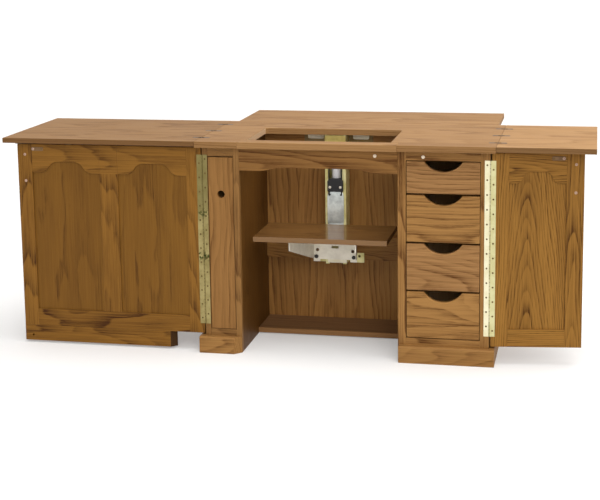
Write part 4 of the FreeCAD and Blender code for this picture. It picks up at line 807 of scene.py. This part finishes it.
def swept_tube(path, radius, across, count):
    """A round section carried along a path that stays in the plane square to the across
    direction. The section is square to the path's run at each point, and its radius may change."""
    run = np.gradient(path, axis=0)
    run /= np.linalg.norm(run, axis=1)[:, None]
    other = np.cross(run, across)
    angles = around(count)[:, None]
    section = np.cos(angles) * np.array(across) + np.sin(angles) * other[:, None]
    thickness = np.broadcast_to(radius, (len(path),))
    points = path[:, None] + section * thickness[:, None, None]
    return points.reshape(-1, 3), grid_faces(len(path), count)


def strike_plate(width, height, thickness):
    """A plate with rounded corners and a shallow dished face. Its outline is half the width and
    height times the cosine and sine of an angle, each raised to a small power. The outline is
    repeated smaller towards the middle, where the thickness falls a little."""
    corner_power = 0.28
    count = 48
    cos, sin = np.cos(around(count)), np.sin(around(count))
    shape_x = np.sign(cos) * np.abs(cos) ** corner_power * width / 2
    shape_z = np.sign(sin) * np.abs(sin) ** corner_power * height / 2
    scales = np.array([1.0, 1.0, 0.985, 0.8, 0.4, 0.02])
    depths = np.array([0.0, 0.8, 1.0, 0.96, 0.93, 0.93]) * thickness
    x = scales[:, None] * shape_x
    z = scales[:, None] * shape_z
    y = -np.repeat(depths[:, None], count, 1)
    points = np.stack([x, y, z], -1).reshape(-1, 3)
    return points, grid_faces(len(scales), count)


# hinge screws, strikes and pulls
SMALL_HEAD, HEAD_FACES = cross_head(0.0029, 0.0002, 0.0012, 0.94)
BIG_HEAD = cross_head(0.0050, 0.0015, 0.0016, 1.0)[0]
PROUD = 0.0002


def about_left_door(points):
    """Points drawn beside the left door's hinge line, moved to where it stands."""
    return points + np.array([FACE_LEFT, HINGE_Y, 0])


def about_right_door(points):
    """Points drawn beside the right door's hinge line, turned to where the door stands."""
    cos, sin = math.cos(RIGHT_DOOR_TURN), math.sin(RIGHT_DOOR_TURN)
    turn = np.array([[cos, -sin, 0], [sin, cos, 0], [0, 0, 1]])
    return points @ turn.T + np.array([FACE_RIGHT, HINGE_Y, 0])


def screw_line(x, share):
    """Centres of a hinge leaf's screws, beside the hinge line, a share of the pitch up."""
    z = HINGE_LOW + HINGE_PITCH * (np.arange(HINGE_SCREWS) + share)
    leaf_face = DOOR_BACK - 0.0012
    return np.stack([np.full(HINGE_SCREWS, x), np.full(HINGE_SCREWS, leaf_face), z], -1)


def fit_cabinet_screws():
    """The cabinet's own screws: two hinge rows, the track's ears and the block."""
    left_row = screw_line(SCREW_ASIDE, 0.7) + np.array([FACE_LEFT, HINGE_Y, 0])
    right_row = screw_line(-SCREW_ASIDE, 0.7) + np.array([FACE_RIGHT, HINGE_Y, 0])
    points, faces = set_out(SMALL_HEAD, HEAD_FACES, np.concatenate([left_row, right_row]))
    surface("frame_hinge_screws", points, faces, "cabinet", "brass_screw")
    replaced = ("cabinet_screws",)
    ears = [
        [LIFT_X + side * aside, EAR_FRONT - PROUD, z]
        for aside, z in ((0.0993, 0.7278), (0.0752, 0.2698))
        for side in (-1, 1)
    ]
    points, faces = set_out(BIG_HEAD, HEAD_FACES, ears)
    surface("ear_screws", points, faces, "cabinet", "brass_screw", replaced)
    pair = [[LIFT_X + side * 0.0193, BLOCK_FRONT - PROUD, 0.5460] for side in (-1, 1)]
    points, faces = set_out(BIG_HEAD, HEAD_FACES, pair)
    surface("block_screws", points, faces, "cabinet", "carriage", replaced)


def fit_pull(label, body, place, x, heights):
    """A bowed pull: a tube on a path that leaves each foot square to the door and bows out
    between them, thinnest in the middle; a turned rose stands under each foot."""
    top, low = heights
    steps = 49
    bow = 0.0245
    share = np.linspace(0, 1, steps)
    rise = bow * np.sin(np.clip(share * 1.02 - 0.01, 0, 1) * math.pi) ** 0.42
    back = DOOR_BACK + DOOR_DEPTH + 0.0005 + rise
    path = np.stack([np.full(steps, x), back, top + (low - top) * share], -1)
    radius = 0.0052 - 0.0016 * np.sin(share * math.pi)
    tube, faces = swept_tube(path, radius, (1.0, 0.0, 0.0), 16)
    rose, rose_faces = turned(
        [[0.0, 0.0032], [0.0052, 0.0032], [0.0066, 0.0026], [0.0074, 0.0014], [0.0100, 0.0010],
         [0.0104, 0.0004], [0.0104, 0.0]]
    )
    feet = [[x, DOOR_BACK + DOOR_DEPTH, z] for z in heights]
    roses, rose_faces = set_out(rose, rose_faces, feet, BACK)
    points = place(np.concatenate([tube, roses]))
    faces = np.concatenate([faces, rose_faces + len(tube)])
    surface(f"{label}_bow_pull", points, faces, body, "bronze", (f"{label}_pull",))


def fit_door(label, body, place, pull_x, strike_x, hinge_x, outer):
    """One door's hinge screws, pull screws, strike plate with its two screws, and pull. The strike's
    outer screw has the bright finish of the pull's screws as a painted glint, and its inner one the
    dark brass."""
    screws, faces = set_out(SMALL_HEAD, HEAD_FACES, screw_line(hinge_x, 0.4))
    surface(f"{label}_hinge_screws", place(screws), faces, body, "brass_screw")
    width, height, thickness = 0.046, 0.014, 0.0012
    plate, faces = strike_plate(width, height, thickness)
    plate = place(plate + np.array([strike_x, DOOR_BACK, CATCH_HEIGHT]))
    surface(f"{label}_strike", plate, faces, body, "strike_brass")
    screw_aside = outer * 0.016
    heights = DOOR_TOP - 0.038 - np.arange(2) * 0.096
    bright = [[pull_x, DOOR_BACK - PROUD, z] for z in heights]
    # painted glint: the strike's outer screw takes the bright screw finish, its twin the dark one
    bright.append([strike_x + screw_aside, DOOR_BACK - thickness, CATCH_HEIGHT])
    large, faces = set_out(BIG_HEAD, HEAD_FACES, bright)
    surface(
        f"{label}_pull_screws", place(large), faces, body, "door_screw",
        (f"{label}_fittings",),
    )
    inner = [[strike_x - screw_aside, DOOR_BACK - thickness, CATCH_HEIGHT]]
    small, faces = set_out(SMALL_HEAD, HEAD_FACES, inner)
    surface(f"{label}_strike_screw", place(small), faces, body, "brass_screw")
    fit_pull(label, body, place, pull_x, heights)


fit_cabinet_screws()
fit_door("left_door", "door_left", about_left_door, -0.660, -LEFT_CATCH, -SCREW_ASIDE, -1)
fit_door("right_door", "door_right", about_right_door, 0.284, RIGHT_CATCH, SCREW_ASIDE, 1)


# catches, track and lift
def fit_magnets():
    """Two catches: an ivory cap with a rounded lip about a pin that stands a little proud."""
    cap, faces = turned(
        [[0.0, 0.0030], [0.0022, 0.0030], [0.0026, 0.0026], [0.0028, 0.0022], [0.0048, 0.0024],
         [0.0056, 0.0021], [0.0060, 0.0014], [0.0060, 0.0]]
    )
    centres = [[x, FACE_Y, CATCH_HEIGHT] for x in (FACE_LEFT + LEFT_CATCH, FACE_RIGHT - RIGHT_CATCH)]
    points, faces = set_out(cap, faces, centres)
    surface("magnet_catches", points, faces, "cabinet", "ivory", ("door_magnets",))


def fit_track_plates():
    """The plates on the track's front, the lower one reaching down behind the platform, and the two
    tabs screwed to the ears."""
    low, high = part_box("lift_cover_plate")
    cover, faces = strike_plate(high[0] - low[0], high[2] - COVER_FOOT, high[1] - low[1])
    points = cover + np.array([LIFT_X, high[1], (high[2] + COVER_FOOT) / 2])
    surface("track_cover", points, faces, "cabinet", "zinc", ("lift_cover_plate",))
    plate, faces = strike_plate(0.0776, 0.050, 0.002)
    points = plate + np.array([LIFT_X, TRACK_FRONT, 0.7135])
    surface("track_head_plate", points, faces, "cabinet", "head_chromate")
    tab, faces = strike_plate(0.060, 0.024, 0.0060)
    centres = np.array([[LIFT_X + side * 0.085, EAR_FRONT, 0.7265] for side in (-1, 1)])
    points, faces = many(tab[None] + centres[:, None], faces)
    surface("ear_tabs", points, faces, "cabinet", "tab")


def fit_carriage():
    """Bolts, a flange and guide rollers on the carriage, which move with the lift."""
    bolt, faces = turned(
        [[0.0, 0.0040], [0.0026, 0.0040], [0.0034, 0.0035], [0.0037, 0.0016], [0.0038, 0.0013],
         [0.0057, 0.0012], [0.0060, 0.0009], [0.0060, 0.0]],
        24,
    )
    spots = [
        [LIFT_X + aside, PLATE_FRONT, z]
        for aside, z in ((-0.066, 0.312), (0.066, 0.309), (-0.046, 0.350), (0.046, 0.350))
    ]
    points, faces = set_out(bolt, faces, spots)
    surface("carriage_bolts", points, faces, "lift", "bronze")
    flange, faces = strike_plate(0.072, 0.015, 0.0030)
    points = flange + np.array([LIFT_X + 0.008, PLATE_FRONT + 0.006, 0.2715])
    surface("carriage_flange", points, faces, "lift", "tab")
    wheel, faces = turned(
        [[0.0025, 0.0060], [0.0042, 0.0063], [0.0058, 0.0061], [0.0068, 0.0053], [0.0071, 0.0033],
         [0.0068, 0.0013], [0.0059, 0.0004], [0.0036, 0.0]],
        28,
    )
    hubs = [[LIFT_X + side * 0.070, PLATE_FRONT, 0.2870] for side in (-1, 1)]
    points, faces = set_out(wheel, faces, hubs)
    surface("carriage_rollers", points, faces, "lift", "dark_rubber")


def fit_rods():
    """The two rods beside the cylinder: each runs straight down through the block for part of its
    path, and the rest bends through half a turn into a hook."""
    steps = 25
    straight = 0.6
    top, length, hook = 0.700, 0.180, 0.004
    share = np.linspace(0, 1, steps)
    bend = np.clip((share - straight) / (1 - straight), 0, 1) * math.pi
    z = top - length * np.minimum(share / straight, 1) - hook * np.sin(bend)
    rods = []
    for side in (-1, 1):
        x = LIFT_X + side * (0.0235 - hook * (1 - np.cos(bend)) / 2)
        path = np.stack([x, np.full(steps, BLOCK_FRONT + 0.004), z], -1)
        points, faces = swept_tube(path, 0.0023, BACK, 12)
        rods.append(points)
    points, faces = many(np.stack(rods), faces)
    surface("latch_rods", points, faces, "cabinet", "black_plastic")


fit_magnets()
fit_track_plates()
fit_carriage()
fit_rods()


# floor, light and camera
def seen_share(b):
    """1 for the camera's rays and those seen in gloss or through glass, 0 for all other light."""
    path = b.add("ShaderNodeLightPath")
    seen = b.math("MAXIMUM", path.outputs["Is Camera Ray"], path.outputs["Is Glossy Ray"])
    return b.math("MAXIMUM", seen, path.outputs["Is Transmission Ray"])


def make_floor():
    """A plain pale floor that keeps the desk's shadow."""
    size = 30.0
    corners = np.array([[-1, -1, 0], [1, -1, 0], [1, 1, 0], [-1, 1, 0]], float) * size
    mesh = bpy.data.meshes.new("floor")
    mesh.from_pydata(corners.tolist(), [], [[0, 1, 2, 3]])
    floor = bpy.data.objects.new("floor", mesh)
    bpy.context.scene.collection.objects.link(floor)
    mat = bpy.data.materials.new("pale_floor")
    mat.use_nodes = True
    mat.node_tree.nodes.clear()
    b = Bench(mat.node_tree)
    matt = b.add("ShaderNodeBsdfDiffuse")
    matt.inputs["Color"].default_value = (0.74, 0.74, 0.74, 1)
    glow = b.add("ShaderNodeEmission")
    glow.inputs["Color"].default_value = (1, 1, 1, 1)
    b.feed(glow.inputs["Strength"], b.math("MULTIPLY", seen_share(b), 0.24))
    both = b.add("ShaderNodeAddShader")
    b.feed(both.inputs[0], matt.outputs[0])
    b.feed(both.inputs[1], glow.outputs[0])
    out = b.add("ShaderNodeOutputMaterial")
    b.feed(out.inputs["Surface"], both.outputs[0])
    mesh.materials.append(mat)


def make_world():
    """White behind the desk for the camera and in gloss; a soft even light otherwise."""
    world = bpy.data.worlds.new("studio")
    bpy.context.scene.world = world
    world.use_nodes = True
    world.node_tree.nodes.clear()
    b = Bench(world.node_tree)
    sky = b.add("ShaderNodeBackground")
    sky.inputs["Color"].default_value = (1, 1, 1, 1)
    b.feed(sky.inputs["Strength"], b.spread(seen_share(b), 0.0, 1.0, 0.36, 1.0))
    out = b.add("ShaderNodeOutputWorld")
    b.feed(out.inputs["Surface"], sky.outputs[0])


def lamp(name, place, target, size, energy):
    """A soft square lamp that faces its target."""
    light = bpy.data.lights.new(name, "AREA")
    light.shape = "SQUARE"
    light.size = size
    light.energy = energy
    holder = bpy.data.objects.new(name, light)
    bpy.context.scene.collection.objects.link(holder)
    holder.location = place
    way = Vector(target) - Vector(place)
    holder.rotation_euler = way.to_track_quat("-Z", "Y").to_euler()


def sunlight(name, place, spread, energy, colour):
    """Even light from far off in the direction of a place, with soft shadows."""
    light = bpy.data.lights.new(name, "SUN")
    light.angle = spread
    light.energy = energy
    light.color = colour
    holder = bpy.data.objects.new(name, light)
    bpy.context.scene.collection.objects.link(holder)
    holder.rotation_euler = Vector(place).to_track_quat("Z", "Y").to_euler()


make_floor()
make_world()
sunlight("overhead", (0.25, 0.0, 1.2), math.radians(60), 2.0, (1.0, 0.985, 0.96))
sunlight("front_key", (0.3, -1.0, 0.6), math.radians(40), 1.3, (1.0, 0.96, 0.92))
lamp("over_right_leaf", (1.5, -0.3, 2.3), (1.0, -0.2, 0.7), 1.4, 14)


def make_camera():
    """The photograph's view: a long lens from the right, looking left and a little down."""
    camera = bpy.data.cameras.new("camera")
    camera.sensor_width = 36.0
    focal_pixels, picture_width = 1390.1, 600
    camera.lens = focal_pixels / picture_width * camera.sensor_width
    camera.shift_y = -0.15
    camera.clip_end = 100
    holder = bpy.data.objects.new("camera", camera)
    bpy.context.scene.collection.objects.link(holder)
    yaw, pitch, roll = 0.21111, 0.16605, -0.01363
    turn = Matrix.Rotation(yaw, 4, "Z") @ Matrix.Rotation(math.pi / 2 - pitch, 4, "X")
    turn = turn @ Matrix.Rotation(roll, 4, "Z")
    place = (1.03070, -5.01360, 1.49164)
    holder.matrix_world = Matrix.Translation(place) @ turn
    bpy.context.scene.camera = holder


make_camera()
bpy.context.scene.view_settings.view_transform = "Standard"
